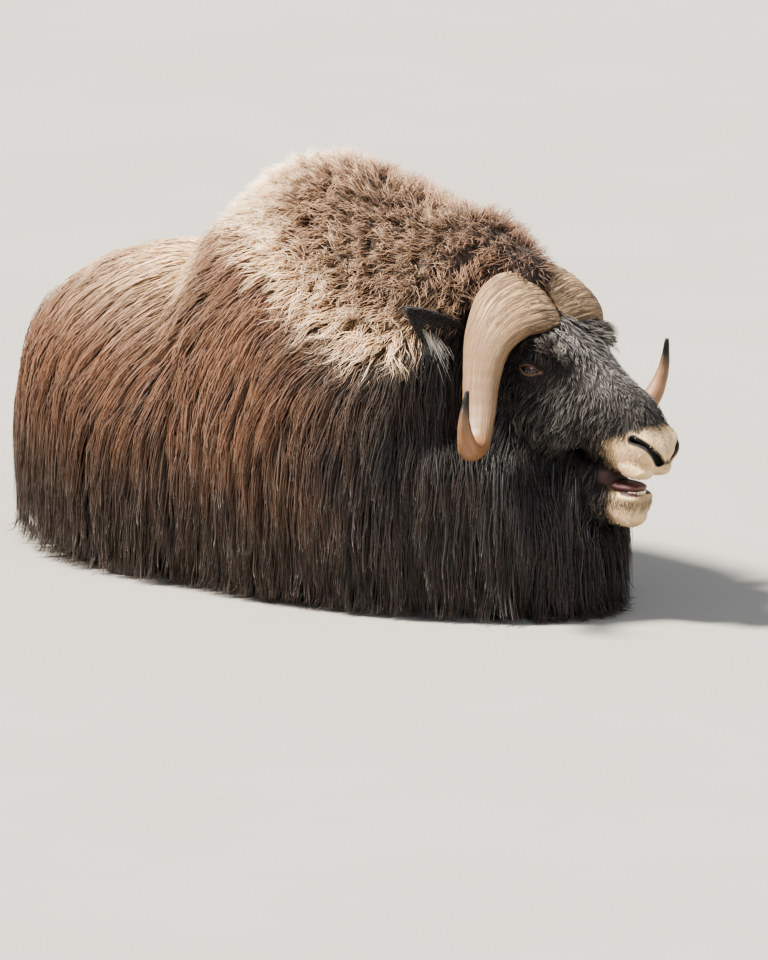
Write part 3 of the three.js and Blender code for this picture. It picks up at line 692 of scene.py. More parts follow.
def markings(points):
    """How far each mark is there, 0 to 1: cream, dark, wool, silver and white."""
    forward, side, up = places(points)
    side = np.abs(side)
    above = above_cape_edge(points)
    head = on_head(points).astype(float)
    # the woolly cape, and cream: its fringe and rear, the saddle behind it and the paler top of the back
    # rear of the hump, saddle and top of the back: partly pale hair, partly a painted highlight of the sun from
    # behind
    wool = smooth(above, -0.015, 0.02) * (1 - head) * smooth(forward, -0.200, -0.165)
    fringe = np.exp(-((np.clip(above, 0, 1) / 0.060) ** 2)) * smooth(forward, -0.16, 0.02)
    rear_hump = (1 - smooth(forward, -0.06, 0.15)) * 0.95
    cream = wool * np.clip(0.95 * fringe + rear_hump + 0.12, 0, 1) * (1 - smooth(forward, 0.44, 0.52))
    saddle = smooth(up, 0.59, 0.66) * smooth(forward, -0.50, -0.32) * (1 - smooth(forward, -0.18, -0.08)) * 0.95
    # the top of the back is paler: partly sun-bleached hair, partly a painted highlight of the sun from behind
    bleach_and_painted_sun = 0.38 * smooth(up, 0.50, 0.66) * (1 - smooth(forward, -0.22, 0.02))
    cream = np.maximum(cream, np.maximum(saddle, bleach_and_painted_sun) * (1 - wool))
    # dark: neck and chest, the lowest hair, the nape, and the head but for its browner cheeks
    neck = smooth(forward + 0.45 * (0.5 - up) + 0.03 * np.sin(31 * up + 9 * side), 0.00, 0.56)
    low_hair = 0.92 * (1 - smooth(up, 0.16, 0.55))
    dark = np.clip(np.maximum(neck, low_hair), 0, 1) * (1 - wool)
    nape = 0.16 * smooth(forward, 0.24, 0.48) + 0.40 * smooth(forward, 0.58, 0.66)
    dark = np.maximum(dark, wool * nape * (0.8 + 0.2 * np.sin(47 * forward + 31 * side)))
    brown_cheek = smooth(side, 0.040, 0.080) * smooth(up, 0.37, 0.43) * (1 - smooth(up, 0.60, 0.64))
    dark = np.maximum(dark, head * (1 - 0.90 * brown_cheek * (1 - smooth(forward, 0.80, 0.86))))
    # silver: frosted hair on brow, bridge and cheeks, in patches
    bridge = smooth(forward, 0.655, 0.70) * (1 - smooth(side, 0.034, 0.096))
    bridge *= smooth(up + 0.9 * (forward - 0.70), 0.56, 0.61)
    cheek = 0.42 * smooth(side, 0.05, 0.09) * smooth(up, 0.36, 0.42) * (1 - smooth(up, 0.50, 0.54))
    patchy = 0.84 + 0.16 * np.sin(41 * forward + 26 * up + 2.0) * np.sin(37 * side + 19 * up - 11 * forward)
    silver = head * np.clip((bridge + cheek) * patchy, 0, 1) * (1 - 0.8 * smooth(forward, 0.845, 0.890))
    # white: the muzzle, ending in a slanted line, and the chin with a darker band
    nose_edge = forward - (0.880 + 2.6 * np.maximum(up - 0.406, 0))
    white = smooth(nose_edge, -0.036, 0.030)
    chin = smooth(forward, 0.846, 0.884) * (1 - 0.6 * np.exp(-(((up - 0.266) / 0.011) ** 2)))
    white = np.where(up < 0.31, chin, white) * head
    return {"cream": cream, "dark": dark, "wool": wool, "silver": silver, "white": white}


def paint(piece, points, along, tone):
    """Stores the marks, the place along a hair and its tone on a piece's points, for its material to read."""
    marks = markings(points)
    store(piece, "marks", (marks["cream"], marks["dark"], marks["wool"], marks["silver"]))
    store(piece, "strand", (along, tone, marks["white"]))
    return marks


# near the root the coat's colour is dark, so the skin showing between hairs is painted as the shade in the coat
BODY_DEEP, HEAD_DEEP = 0.03, 0.29  # where along a hair the skin takes its colour: near the root, less so on the head
skin_points = corners_of(skin)
marks = paint(skin, skin_points, BODY_DEEP + HEAD_DEEP * on_head(skin_points), 0.5)
print("mean of each mark:", {name: round(float(values.mean()), 2) for name, values in marks.items()})

# %% [markdown]
# ## Shader helpers
# Materials are built in code from nodes, and a few helpers keep that readable. One turns a colour as it is seen
# on a screen into the linear values that shaders use, one adds a node and links or sets its sockets, and the
# rest are the nodes that come back in every material.

# %% Shader helpers
def colour(code):
    """The linear values of a colour written as on the web."""
    made = []
    for i in (1, 3, 5):
        value = int(code[i : i + 2], 16) / 255
        made.append(value / 12.92 if value <= 0.04045 else ((value + 0.055) / 1.055) ** 2.4)
    return (*made, 1.0)


def node(tree, kind, inputs=None, **settings):
    """Adds a node. An input that is a socket is linked, and any other value is set."""
    made = tree.nodes.new(kind)
    for key, value in settings.items():
        setattr(made, key, value)
    for key, value in (inputs or {}).items():
        socket = made.inputs[key]
        if isinstance(value, bpy.types.NodeSocket):
            tree.links.new(value, socket)
        else:
            socket.default_value = value
    return made


def maths(tree, kind, *values):
    """A Math node of that kind on two or three values."""
    return node(tree, "ShaderNodeMath", dict(enumerate(values)), operation=kind).outputs[0]


def noise(tree, vector, scale, detail, roughness, distortion=0.0):
    """Clouds of noise, from 0 to 1."""
    inputs = {"Vector": vector, "Scale": scale, "Detail": detail, "Roughness": roughness, "Distortion": distortion}
    return node(tree, "ShaderNodeTexNoise", inputs).outputs["Fac"]


def bump(tree, height, strength, distance):
    """A normal that is tipped by the slope of a height."""
    return node(tree, "ShaderNodeBump", {"Height": height, "Strength": strength, "Distance": distance}).outputs[0]


def stored(tree, name):
    """The Red, Green and Blue of what is stored on the points under a name."""
    read = node(tree, "ShaderNodeAttribute", attribute_name=name)
    return node(tree, "ShaderNodeSeparateColor", {"Color": read.outputs["Color"]}).outputs


def ramp(tree, value, stops):
    """Colours or greys between stops, read at a value."""
    made = node(tree, "ShaderNodeValToRGB", {"Fac": value})
    elements = made.color_ramp.elements
    while len(elements) < len(stops):
        elements.new(0.5)
    for element, (place, shade) in zip(elements, stops):
        element.position = place
        element.color = colour(shade) if isinstance(shade, str) else (shade, shade, shade, 1)
    return made.outputs["Color"]


def mix(tree, share, first, second, blend="MIX"):
    """The first colour where share is 0, and the second where it is 1."""
    made = node(tree, "ShaderNodeMix", data_type="RGBA", blend_type=blend)
    for index, value in ((0, share), (6, first), (7, second)):
        if isinstance(value, bpy.types.NodeSocket):
            tree.links.new(value, made.inputs[index])
        else:
            made.inputs[index].default_value = value
    return made.outputs[2]


def new_group(name, takes, gives):
    """A node group: its tree, what it takes and what it gives."""
    tree = bpy.data.node_groups.new(name, "ShaderNodeTree")
    for title, kind, start in takes:
        socket = tree.interface.new_socket(title, in_out="INPUT", socket_type=kind)
        if start is not None:
            socket.default_value = start
    for title, kind in gives:
        tree.interface.new_socket(title, in_out="OUTPUT", socket_type=kind)
    return tree, tree.nodes.new("NodeGroupInput").outputs, tree.nodes.new("NodeGroupOutput").inputs


def new_material(name, **constants):
    """A material with a Principled shader. Values that are the same all over are set on its own sockets."""
    material = bpy.data.materials.new(name)
    material.use_nodes = True
    shader = material.node_tree.nodes["Principled BSDF"]
    for key, value in constants.items():
        shader.inputs[key.replace("_", " ")].default_value = value
    return material, material.node_tree, shader


print("a middle grey is", round(colour("#808080")[0], 3), "in linear values")

# %% [markdown]
# ## Colour of the coat
# A hair is dark at its root, where light doesn't reach, and bleached at its tip. Each kind of hair has a ramp of
# its own from root to tip, and the markings choose between the ramps. A slow noise makes whole locks darker or
# paler. The materials of the coat and of the skin place this one group.

# %% Group for the colour of hair
FLOAT, COLOUR = "NodeSocketFloat", "NodeSocketColor"
hair_tree, takes, gives = new_group(
    "hair_colour",
    [("Marks", COLOUR, None), ("Silver", FLOAT, 0.0), ("Strand", COLOUR, None), ("Mottle Scale", FLOAT, 9.0),
     ("Mottle", FLOAT, 0.4)],
    [("Colour", COLOUR)],
)
marks = node(hair_tree, "ShaderNodeSeparateColor", {"Color": takes["Marks"]}).outputs
strand = node(hair_tree, "ShaderNodeSeparateColor", {"Color": takes["Strand"]}).outputs
along = strand["Red"]
kinds = {
    "brown": [(0, "#281b15"), (0.35, "#543b2d"), (0.75, "#835e46"), (1, "#bb9069")],
    "wool": [(0, "#2a1d16"), (0.4, "#614736"), (0.8, "#99765d"), (1, "#c09c7d")],
    "dark": [(0, "#070605"), (0.5, "#1b1511"), (0.85, "#352820"), (1, "#523f31")],
    "cream": [(0, "#5c4432"), (0.3, "#bd9974"), (0.7, "#ecd1ae"), (1, "#fbedd8")],
    "silver": [(0, "#181617"), (0.35, "#454140"), (0.7, "#9a958e"), (1, "#d6d0c7")],
    "white": [(0, "#9a7d5b"), (0.4, "#c6aa85"), (1, "#ead8bb")],
}
shades = {name: ramp(hair_tree, along, stops) for name, stops in kinds.items()}
where = node(hair_tree, "ShaderNodeTexCoord").outputs["Object"]
patches = noise(hair_tree, where, takes["Mottle Scale"], 3.0, 0.6)
painted = mix(hair_tree, marks["Blue"], shades["brown"], shades["wool"])
painted = mix(hair_tree, marks["Green"], painted, shades["dark"])
painted = mix(hair_tree, marks["Red"], painted, shades["cream"])
frosted = node(
    hair_tree, "ShaderNodeMapRange", {"Value": strand["Green"], "From Min": 0.30, "From Max": 0.78}
).outputs[0]
silver_share = maths(hair_tree, "MULTIPLY", takes["Silver"], frosted)
painted = mix(hair_tree, silver_share, painted, shades["silver"])
painted = mix(hair_tree, strand["Blue"], painted, shades["white"])
uneven = maths(hair_tree, "SUBTRACT", patches, 0.5)
uneven = maths(hair_tree, "MULTIPLY", uneven, takes["Mottle"])
# tone scales brightness: it varies at random, and darkens hair lower in the coat as a painted shade
tone = maths(hair_tree, "MULTIPLY_ADD", strand["Green"], 0.9, 0.55)
bright = maths(hair_tree, "MULTIPLY_ADD", uneven, 2.0, tone)
lit = node(hair_tree, "ShaderNodeCombineColor", {"Red": bright, "Green": bright, "Blue": bright}).outputs[0]
hair_tree.links.new(mix(hair_tree, 1.0, painted, lit, "MULTIPLY"), gives["Colour"])
print("hair_colour:", len(hair_tree.nodes), "nodes")


def coat_material(name, **constants):
    """A furry material: the group's colour, from what is stored on the points."""
    settings = {"Roughness": 0.6, "Specular_IOR_Level": 0.35, "Sheen_Weight": 0.15, "Sheen_Roughness": 0.4}
    material, tree, shader = new_material(name, **{**settings, **constants})
    group = node(tree, "ShaderNodeGroup", node_tree=hair_tree)
    for socket, attribute in (("Marks", "marks"), ("Strand", "strand")):
        read = node(tree, "ShaderNodeAttribute", attribute_name=attribute)
        tree.links.new(read.outputs["Color"], group.inputs[socket])
        if socket == "Marks":
            tree.links.new(read.outputs["Alpha"], group.inputs["Silver"])
    tree.links.new(group.outputs["Colour"], shader.inputs["Base Color"])
    return material, tree, shader, group


# %% [markdown]
# ## Mottled surfaces
# Worn horn, bare skin, flesh and enamel are all a little blotched and uneven. One group makes that for all of
# them: a noise picks between a dark and a pale colour, and the same noise gives the relief.

# %% Group for mottled surfaces
mottled_tree, takes, gives = new_group(
    "mottled",
    [("Scale", FLOAT, 100.0), ("Dark", COLOUR, (0.1, 0.1, 0.1, 1)), ("Pale", COLOUR, (0.5, 0.5, 0.5, 1)),
     ("Relief", FLOAT, 0.5)],
    [("Colour", COLOUR), ("Normal", "NodeSocketVector")],
)
where = node(mottled_tree, "ShaderNodeTexCoord").outputs["Object"]
blotches = noise(mottled_tree, where, takes["Scale"], 3.0, 0.65)
paler = node(mottled_tree, "ShaderNodeMapRange", {"Value": blotches, "From Min": 0.3, "From Max": 0.7}).outputs[0]
mottled_tree.links.new(mix(mottled_tree, paler, takes["Dark"], takes["Pale"]), gives["Colour"])
mottled_tree.links.new(bump(mottled_tree, blotches, takes["Relief"], 0.002), gives["Normal"])
print("mottled:", len(mottled_tree.nodes), "nodes")


def mottled_material(name, scale, dark, pale, relief, **constants):
    """A material of blotches between two colours, with a shallow relief."""
    material, tree, shader = new_material(name, **constants)
    values = {"Scale": scale, "Dark": colour(dark), "Pale": colour(pale), "Relief": relief}
    group = node(tree, "ShaderNodeGroup", node_tree=mottled_tree)
    for socket, value in values.items():
        group.inputs[socket].default_value = value
    tree.links.new(group.outputs["Colour"], shader.inputs["Base Color"])
    tree.links.new(group.outputs["Normal"], shader.inputs["Normal"])
    return material, tree, shader


# %% [markdown]
# ## Material of the skin
# The skin shows between the hairs, so it takes the coat's own colour from near the root, which is dark as a
# painted shade down in the coat. Three bare places have colours of their own: the wet flesh of the mouth, the black
# of the nostrils and the brown of the lids.

# %% Skin material
SKIN_ROUGHNESS, MOUTH_GLOSS = 0.75, 0.30
skin_material, tree, shader, group = coat_material("skin_fur", Roughness=SKIN_ROUGHNESS)
coordinates = node(tree, "ShaderNodeTexCoord").outputs["Object"]
stretched = node(tree, "ShaderNodeMapping", {"Vector": coordinates, "Scale": (1.0, 0.45, 0.3)}).outputs[0]
short_hair = noise(tree, stretched, 420.0, 3.0, 0.7)
parts = stored(tree, "bare")
shown = group.outputs["Colour"]
for part, stops in (
    ("Red", [(0.3, "#1f1212"), (0.7, "#402625")]),
    ("Green", [(0.3, "#050505"), (0.7, "#151313")]),
    ("Blue", [(0.3, "#4c3628"), (0.7, "#927257")]),
):
    shown = mix(tree, parts[part], shown, ramp(tree, short_hair, stops))
tree.links.new(shown, shader.inputs["Base Color"])
tree.links.new(maths(tree, "MULTIPLY_ADD", parts["Red"], -MOUTH_GLOSS, SKIN_ROUGHNESS), shader.inputs["Roughness"])
tree.links.new(bump(tree, short_hair, 0.5, 0.002), shader.inputs["Normal"])
skin.data.materials.clear()
skin.data.materials.append(skin_material)
print("skin_fur:", len(tree.nodes), "nodes")

# %% [markdown]
# ## Bare places
# No hair grows in the mouth, in the nostrils or on the lids. Each is measured from the numbers that shaped it
# and stored on the points of the skin, so that colour, form and hair agree.

# %% Bare places: mouth, nostrils and lids
forward, out, up = places(skin_points)
mouth_middle = (between(forward, UPPER_LIP) + between(forward, LOWER_LIP)) / 2
mouth = smooth(forward, 0.825, 0.85) * (np.abs(up - mouth_middle) < 0.021) * (1 - smooth(np.abs(out), 0.048, 0.060))
mouth = mouth * (1 - smooth(forward, 0.950, 0.965))
nose_furrow = np.exp(-(((up - 0.362) / 0.007) ** 2)) * smooth(forward, 0.950, 0.962)
nostril_mark = 0.9 * (nose_furrow * (1 - smooth(np.abs(out), 0.024, 0.032)))
lid_mark = np.zeros(len(skin_points))
for side, _ in SIDES:
    _, away, deep, _ = near_nostril(skin_points, side)
    nostril_mark = np.maximum(nostril_mark, (1 - smooth(away, 0.0095, 0.014)) * (np.abs(deep) < 0.04))
    facing, lid_along, lid_up = eye_axes(side)
    local = skin_points - eyes[side]
    on_lid = (np.linalg.norm(local, axis=1) < 0.030) * (local @ facing > 0)
    edge = inside_lids(local @ lid_along, local @ lid_up)
    lid_mark = np.maximum(lid_mark, np.exp(-((edge / 0.0035) ** 2)) * on_lid)
store(skin, "bare", (mouth, nostril_mark, lid_mark))
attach(skin, "root")
FLESH_NODES = ["shoulders", "torso", "rump", "neck", "throat", "head", "lower_jaw", "tail"]
FLESH_NODES += [f"{leg}_{side}" for leg in ("foreleg", "hindleg") for side in ("right", "left")]
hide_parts(*FLESH_NODES)
print("skin replaces", len(FLESH_NODES), "nodes")

# %% [markdown]
# ## Horns
# A muskox's horns meet over the brow in a broad boss, run down close to the cheeks and hook up at the tips. The
# boss is rough, with long cracks; the shaft is worn smooth and the tip is black. Each horn is one lofted tube
# whose points also store how far along and around the horn they lie, which is what its material paints by.

# %% Horn shape
HORN_ROWS = [
    (0.650, -0.006, 0.677, 0.140, 0.030, 44),
    (0.652, 0.036, 0.683, 0.160, 0.052, 42),
    (0.649, 0.084, 0.683, 0.170, 0.062, 38),
    (0.638, 0.130, 0.660, 0.152, 0.066, 30),
    (0.627, 0.168, 0.605, 0.115, 0.062, 18),
    (0.629, 0.192, 0.530, 0.090, 0.057, 6),
    (0.644, 0.220, 0.457, 0.077, 0.055, 0),
    (0.667, 0.262, 0.404, 0.062, 0.050, 0),
    (0.692, 0.318, 0.408, 0.048, 0.043, 0),
    (0.706, 0.352, 0.470, 0.027, 0.026, 0),
    (0.716, 0.354, 0.544, 0.009, 0.009, 0),
]
GROOVE = 0.004  # half the gap between the horns over the brow


def horn(side, name):
    """One horn, with its grain stored: how far along it and around it each point lies."""
    count, around = 170, 72  # rings, and points in a ring
    turn = np.linspace(0, 2 * math.pi, around, endpoint=False)
    rings, along_values = [], []
    for position in np.linspace(0, len(HORN_ROWS) - 1, count):
        f, s, u, breadth, thickness, tip = row_at(HORN_ROWS, position)
        run = run_at(HORN_ROWS, position, side)
        angle = math.radians(tip)
        broad = way(math.cos(angle), 0, -math.sin(angle))
        broad = broad - broad @ run * run
        broad /= np.linalg.norm(broad)
        across = np.cross(run, broad)
        share = position / (len(HORN_ROWS) - 1)
        boss = 1 - smooth(share, 0.18, 0.48)
        # two uneven waves round the horn give ridges that run along the boss and fade on the shaft
        ridges = 0.0016 * np.sin(23 * turn + 2.5 * math.sin(9 * share)) + 0.0011 * np.sin(41 * turn + 17 * share)
        ridges = ridges * boss * 0.8
        rings_of_growth = 0.0002 * math.sin(150 * share) * smooth(share, 0.3, 0.5)
        lift = breadth / 2 + ridges + rings_of_growth
        reach = thickness / 2 + ridges + rings_of_growth
        rings.append(
            at(f, side * s, u)
            + (np.cos(turn) * lift)[:, None] * broad
            + (np.sin(turn) * reach)[:, None] * across
        )
        along_values += [share] * around
    points = np.array(rings)
    middle = at(0, 0, 0)[0]
    clear = (middle - points[..., 0]) * side - GROOVE
    points[..., 0] += side * np.minimum(clear, 0)
    piece = tube("horn_form_" + name, points)
    grain = np.zeros((3, len(piece.data.vertices)))
    grain[0, : count * around] = along_values
    grain[1, : count * around] = np.tile(np.abs(turn / math.pi - 1), count)
    grain[2, : count * around] = np.tile(np.abs((turn / math.pi + 0.5) % 2 - 1), count)
    grain[0, -1] = 1
    store(piece, "grain", grain)
    return piece


print("sections of a horn:", len(HORN_ROWS))

# %% [markdown]
# ## Horn material
# Cracks are lines of noise stretched along the horn: the noise is sampled at the place along the horn times a
# little, and the place around it times a lot. They are dark where thin and only on the boss. The colour runs
# from cream over grey and amber to black.

# %% Horn material
horn_material, tree, shader = new_material("horn_sheath", Roughness=0.5, Specular_IOR_Level=0.40)
grain = stored(tree, "grain")


def grain_noise(along_scale, around_scale, detail, roughness, distortion=0.0):
    """Noise drawn out along the horn, where its scale along is less than its scale around."""
    scales = {"Red": along_scale, "Green": around_scale, "Blue": around_scale}
    scaled = [maths(tree, "MULTIPLY", grain[part], scale) for part, scale in scales.items()]
    place = node(tree, "ShaderNodeCombineXYZ", dict(zip("XYZ", scaled))).outputs[0]
    return noise(tree, place, 1.0, detail, roughness, distortion)


base = ramp(
    tree,
    grain["Red"],
    [(0, "#9b7757"), (0.06, "#c2a681"), (0.26, "#a5845f"), (0.5, "#6c543e"), (0.66, "#6f523a"), (0.76, "#7c4e2d"),
     (0.86, "#774828"), (0.95, "#3a2618")],
)
streaks = grain_noise(5.0, 26.0, 4.0, 0.65)
fine = grain_noise(9.0, 70.0, 3.0, 0.6)
cracks = grain_noise(7.0, 34.0, 5.0, 0.7, 0.6)
crack_line = ramp(tree, cracks, [(0.435, 0.0), (0.485, 1.0), (0.515, 1.0), (0.565, 0.0)])
on_boss = ramp(tree, grain["Red"], [(0.03, 0.55), (0.12, 1.0), (0.28, 0.75), (0.48, 0.0)])
crack_share = maths(tree, "MULTIPLY", crack_line, on_boss)
streaked = mix(tree, ramp(tree, streaks, [(0.35, 0.0), (0.65, 0.70)]), base, colour("#6b5643"))
streaked = mix(tree, ramp(tree, fine, [(0.45, 0.0), (0.7, 0.35)]), streaked, colour("#c6ad8b"))
cracked = mix(tree, maths(tree, "MULTIPLY", crack_share, 0.9), streaked, colour("#35261c"))
black_tip = ramp(tree, grain["Red"], [(0.915, 0.0), (0.955, 1.0)])
tree.links.new(mix(tree, black_tip, cracked, colour("#141110")), shader.inputs["Base Color"])
relief = maths(tree, "MULTIPLY_ADD", crack_share, -1.0, maths(tree, "MULTIPLY", streaks, 0.6))
tree.links.new(bump(tree, relief, 0.7, 0.0025), shader.inputs["Normal"])
tree.links.new(ramp(tree, grain["Red"], [(0.2, 0.62), (0.6, 0.52), (0.9, 0.34)]), shader.inputs["Roughness"])

horn_pieces = []
for side, name in SIDES:
    piece = horn(side, name)
    horn_pieces.append(piece)
    piece.data.materials.append(horn_material)
    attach(piece, "root")
    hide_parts(f"horn_{name}")
    print(piece.name, len(piece.data.polygons), "faces")

# %% [markdown]
# ## Eyes
# The eyeball is dark brown with a long, level pupil, as in all cattle. It is wet, so most of what is seen of it
# is the sky's reflection. A thin clear coat on the shader gives that without a second mesh.

# %% Eyes
eye_material, tree, shader = new_material("eye_glass", Roughness=0.12, Specular_IOR_Level=0.4, Coat_Weight=0.35)
shader.inputs["Coat Roughness"].default_value = 0.03
gaze = stored(tree, "gaze")
iris = ramp(
    tree, gaze["Red"], [(0.0, "#1e130c"), (0.45, "#2e1d13"), (0.55, "#100b09"), (0.62, "#1d1613"), (0.9, "#2e2622")]
)
pupil = ramp(tree, gaze["Green"], [(0.45, 1.0), (0.55, 0.0)])
tree.links.new(mix(tree, pupil, iris, colour("#040303")), shader.inputs["Base Color"])
IRIS_EDGE, PUPIL = 0.62, (0.36, 0.16)  # shares of the ball's radius


def eyeball(side, name):
    """An eyeball with a bulging cornea, and how far each point is from the middle of iris and pupil."""
    piece = ball("eyeball_" + name, 48, 32)
    facing, along_lid, up_lid = eye_axes(side)
    x, y, z = corners_of(piece).T
    off_axis = np.hypot(x, y)
    bulge = 1 + 0.05 * (1 - smooth(off_axis, 0.35, IRIS_EDGE)) * (z > 0)
    placed = x[:, None] * along_lid + y[:, None] * up_lid + z[:, None] * facing
    move_corners(piece, eyes[side] + EYE["radius"] * 0.985 * bulge[:, None] * placed)
    rim = np.where(z > 0, 0.55 * off_axis / IRIS_EDGE, 1.0)
    oval = np.where(z > 0, np.hypot(x / PUPIL[0], y / PUPIL[1]) * 0.5, 1.0)
    store(piece, "gaze", (rim, oval, 0))
    piece.data.polygons.foreach_set("use_smooth", np.ones(len(piece.data.polygons), bool))
    piece.data.materials.append(eye_material)
    return piece


for side, name in SIDES:
    piece = eyeball(side, name)
    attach(piece, "root")
    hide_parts(f"eye_{name}")
    print(piece.name, len(piece.data.polygons), "faces")

# %% [markdown]
# ## Tongue
# The tongue lies in the open mouth, broad and blunt, with a shallow furrow along its middle. It is a lofted tube
# whose bulk falls off towards both ends, and its small buds are relief from a pattern of cells.

# %% Tongue
flesh_material, tree, shader = mottled_material(
    "moist_flesh", 160, "#3d2324", "#6d4645", 0.3, Roughness=0.32, Specular_IOR_Level=0.5
)
buds = node(tree, "ShaderNodeTexVoronoi", {"Scale": 700.0}).outputs["Distance"]
tree.links.new(bump(tree, buds, 0.35, 0.001), shader.inputs["Normal"])
TONGUE = {"forward": 0.872, "up": 0.299, "length": 0.054, "width": 0.030, "height": 0.0125}


def tongue():
    """Rings round a line through the mouth, flattened along a furrow on top."""
    turn = np.linspace(0, 2 * math.pi, 28, endpoint=False)
    run = way(1, 0, -0.08)
    lift = np.cross(run, way(0, 1, 0))
    lift *= np.sign(lift[2])
    rings = []
    for share in np.linspace(-0.97, 0.97, 30):
        bulk = (1 - abs(share) ** 3.2) ** 0.5
        middle = at(TONGUE["forward"], 0, TONGUE["up"]) + share * TONGUE["length"] * run
        middle = middle + 0.004 * max(share, 0) ** 2 * lift
        out, rise = np.sin(turn) * TONGUE["width"] * bulk, np.cos(turn) * TONGUE["height"] * bulk
        rise = rise - 0.0028 * np.exp(-((out / 0.004) ** 2)) * (np.cos(turn) > 0) * bulk
        rings.append(middle + out[:, None] * way(0, 1, 0) + rise[:, None] * lift)
    return tube("tongue_form", rings)


piece = tongue()
piece.data.materials.append(flesh_material)
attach(piece, "root")
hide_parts("tongue")
print("tongue:", len(piece.data.polygons), "faces")

# %% [markdown]
# ## Teeth
# Cattle have front teeth in the lower jaw only: eight small spades in an arc, set against a hard pad above. One
# tooth is a short tube that flattens to an edge, and all of them are that tooth, turned about the arc.

# %% Teeth
TOOTH = {"count": 8, "width": 0.0043, "height": 0.0095, "thickness": 0.0034, "row": 0.026, "arc": 2.4}
TOOTH_SECTIONS = [(0, 0.62, 1), (0.35, 0.8, 1), (0.7, 1, 0.75), (0.9, 0.98, 0.42), (1, 0.86, 0.2)]
tooth_material, *_ = mottled_material("tooth", 220, "#9b825b", "#ded2b8", 0.05, Roughness=0.3, Specular_IOR_Level=0.5)


def tooth(turn):
    """The tooth at a turn about the arc, 0 in the middle."""
    lean = way(0.5 * math.cos(turn), 0.5 * math.sin(turn), 1)
    broad = way(-math.sin(turn), math.cos(turn), 0)
    thin = np.cross(lean, broad)
    root = at(0.892 + TOOTH["row"] * math.cos(turn), TOOTH["row"] * math.sin(turn), 0.283)
    around = np.linspace(0, 2 * math.pi, 12, endpoint=False)
    rings = []
    for share, wide, thick in TOOTH_SECTIONS:
        rings.append(
            root
            + share * TOOTH["height"] * lean
            + (np.cos(around) * wide * TOOTH["width"])[:, None] * broad
            + (np.sin(around) * thick * TOOTH["thickness"])[:, None] * thin
        )
    return tube("tooth", rings)


turns = (np.arange(TOOTH["count"]) + 0.5) / TOOTH["count"] * TOOTH["arc"] - TOOTH["arc"] / 2
teeth = join([tooth(turn) for turn in turns], "teeth")
teeth.data.materials.append(tooth_material)
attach(teeth, "root")
print("teeth:", TOOTH["count"])

# %% [markdown]
# ## Hooves
# The hooves are folded under the body, where the coat covers them. Their solids already have the right shape, so
# they keep it and only get the look of worn, dark horn.

# %% Hooves
hoof_material, *_ = mottled_material("hoof_horn", 45, "#1b1613", "#4a3e35", 0.4, Roughness=0.5)
for name, solid in frame["nodes"].items():
    if name.startswith("hoof"):
        for place in solid.material_slots:
            place.material = hoof_material
        print(name, "keeps its solid")

# %% [markdown]
# ## Ears
# An ear is a leaf rolled into a scoop, held out and back under the horn's boss. It is one closed surface: each
# ring runs over the inside from edge to edge and back over the outside.

# %% Ears
EAR = {"base": (0.532, 0.122, 0.572), "tip": (0.474, 0.254, 0.678), "half_width": 0.040, "wall": 0.0035}
ear_material, *_ = mottled_material("ear_skin", 300, "#0d0b0b", "#2b2422", 0.5, Roughness=0.75)


def ear_frame(side):
    """The ear's base and tip, and the directions along it, out of its scoop and across it."""
    (bf, bs, bu), (tf, ts, tu) = EAR["base"], EAR["tip"]
    base, tip = at(bf, side * bs, bu), at(tf, side * ts, tu)
    run = unit(tip - base)
    opening = way(0.8, 0.1 * side, -0.45)
    opening = unit(opening - opening @ run * run)
    return base, tip, run, opening, np.cross(run, opening) * side


def ear_spot(side, along, across, behind=0.0):
    """A place on the ear's scoop: along from 0 at the base to 1, across from -1 at the upper edge to 1."""
    base, tip, _, opening, broad = ear_frame(side)
    half = EAR["half_width"] * math.sin(math.pi * (0.16 + 0.84 * along) ** 0.85) ** 0.75 if along < 1 else 0.0
    half = max(half, 0.0015)
    roll = 1.25 - 0.35 * along
    bow = 0.010 * math.sin(math.pi * along)
    radius = half / math.sin(roll) if roll < math.pi / 2 else half
    angle = across * roll
    out = radius * (math.cos(roll) - math.cos(angle)) + behind * -math.cos(angle)
    wide = radius * math.sin(angle) + behind * math.sin(angle)
    return base + along * (tip - base) + (out + bow) * opening + wide * broad


for side, name in SIDES:
    rings = []
    for along in np.linspace(0, 1, 28) ** 0.9:
        inside = [ear_spot(side, along, across) for across in np.linspace(-1, 1, 15)]
        outside = [ear_spot(side, along, across, EAR["wall"]) for across in np.linspace(1, -1, 15)]
        rings.append(inside + outside)
    ear = tube("ear_form_" + name, rings)
    ear.data.materials.append(ear_material)
    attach(ear, "root")
    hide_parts(f"ear_{name}")
    print(ear.name, len(ear.data.polygons), "faces")

# %% [markdown]
# ## Room around the skin
# Hair grows from the skin but lies along it at some height, so it has to be known, anywhere near the animal, how
# far the skin is and which way is out. That is measured once on a grid of points and read between them after.

# %% Distance grid
CELL, GRID_MARGIN = 0.018, 0.15
grid_low = skin_points.min(0) - GRID_MARGIN
grid_count = np.ceil((skin_points.max(0) + GRID_MARGIN - grid_low) / CELL).astype(int) + 1
surface = BVHTree.FromObject(skin, bpy.context.evaluated_depsgraph_get())
grid_spots = np.stack(np.meshgrid(*(np.arange(n) for n in grid_count), indexing="ij"), -1) * CELL + grid_low
heights = np.empty(grid_spots[..., 0].size)
for i, point in enumerate(grid_spots.reshape(-1, 3)):
    spot, normal, _, distance = surface.find_nearest(point)
    heights[i] = math.copysign(distance, (Vector(point) - spot).dot(normal))
heights = heights.reshape(grid_count)
room = np.concatenate([heights[..., None], np.stack(np.gradient(heights, CELL), -1)], -1)


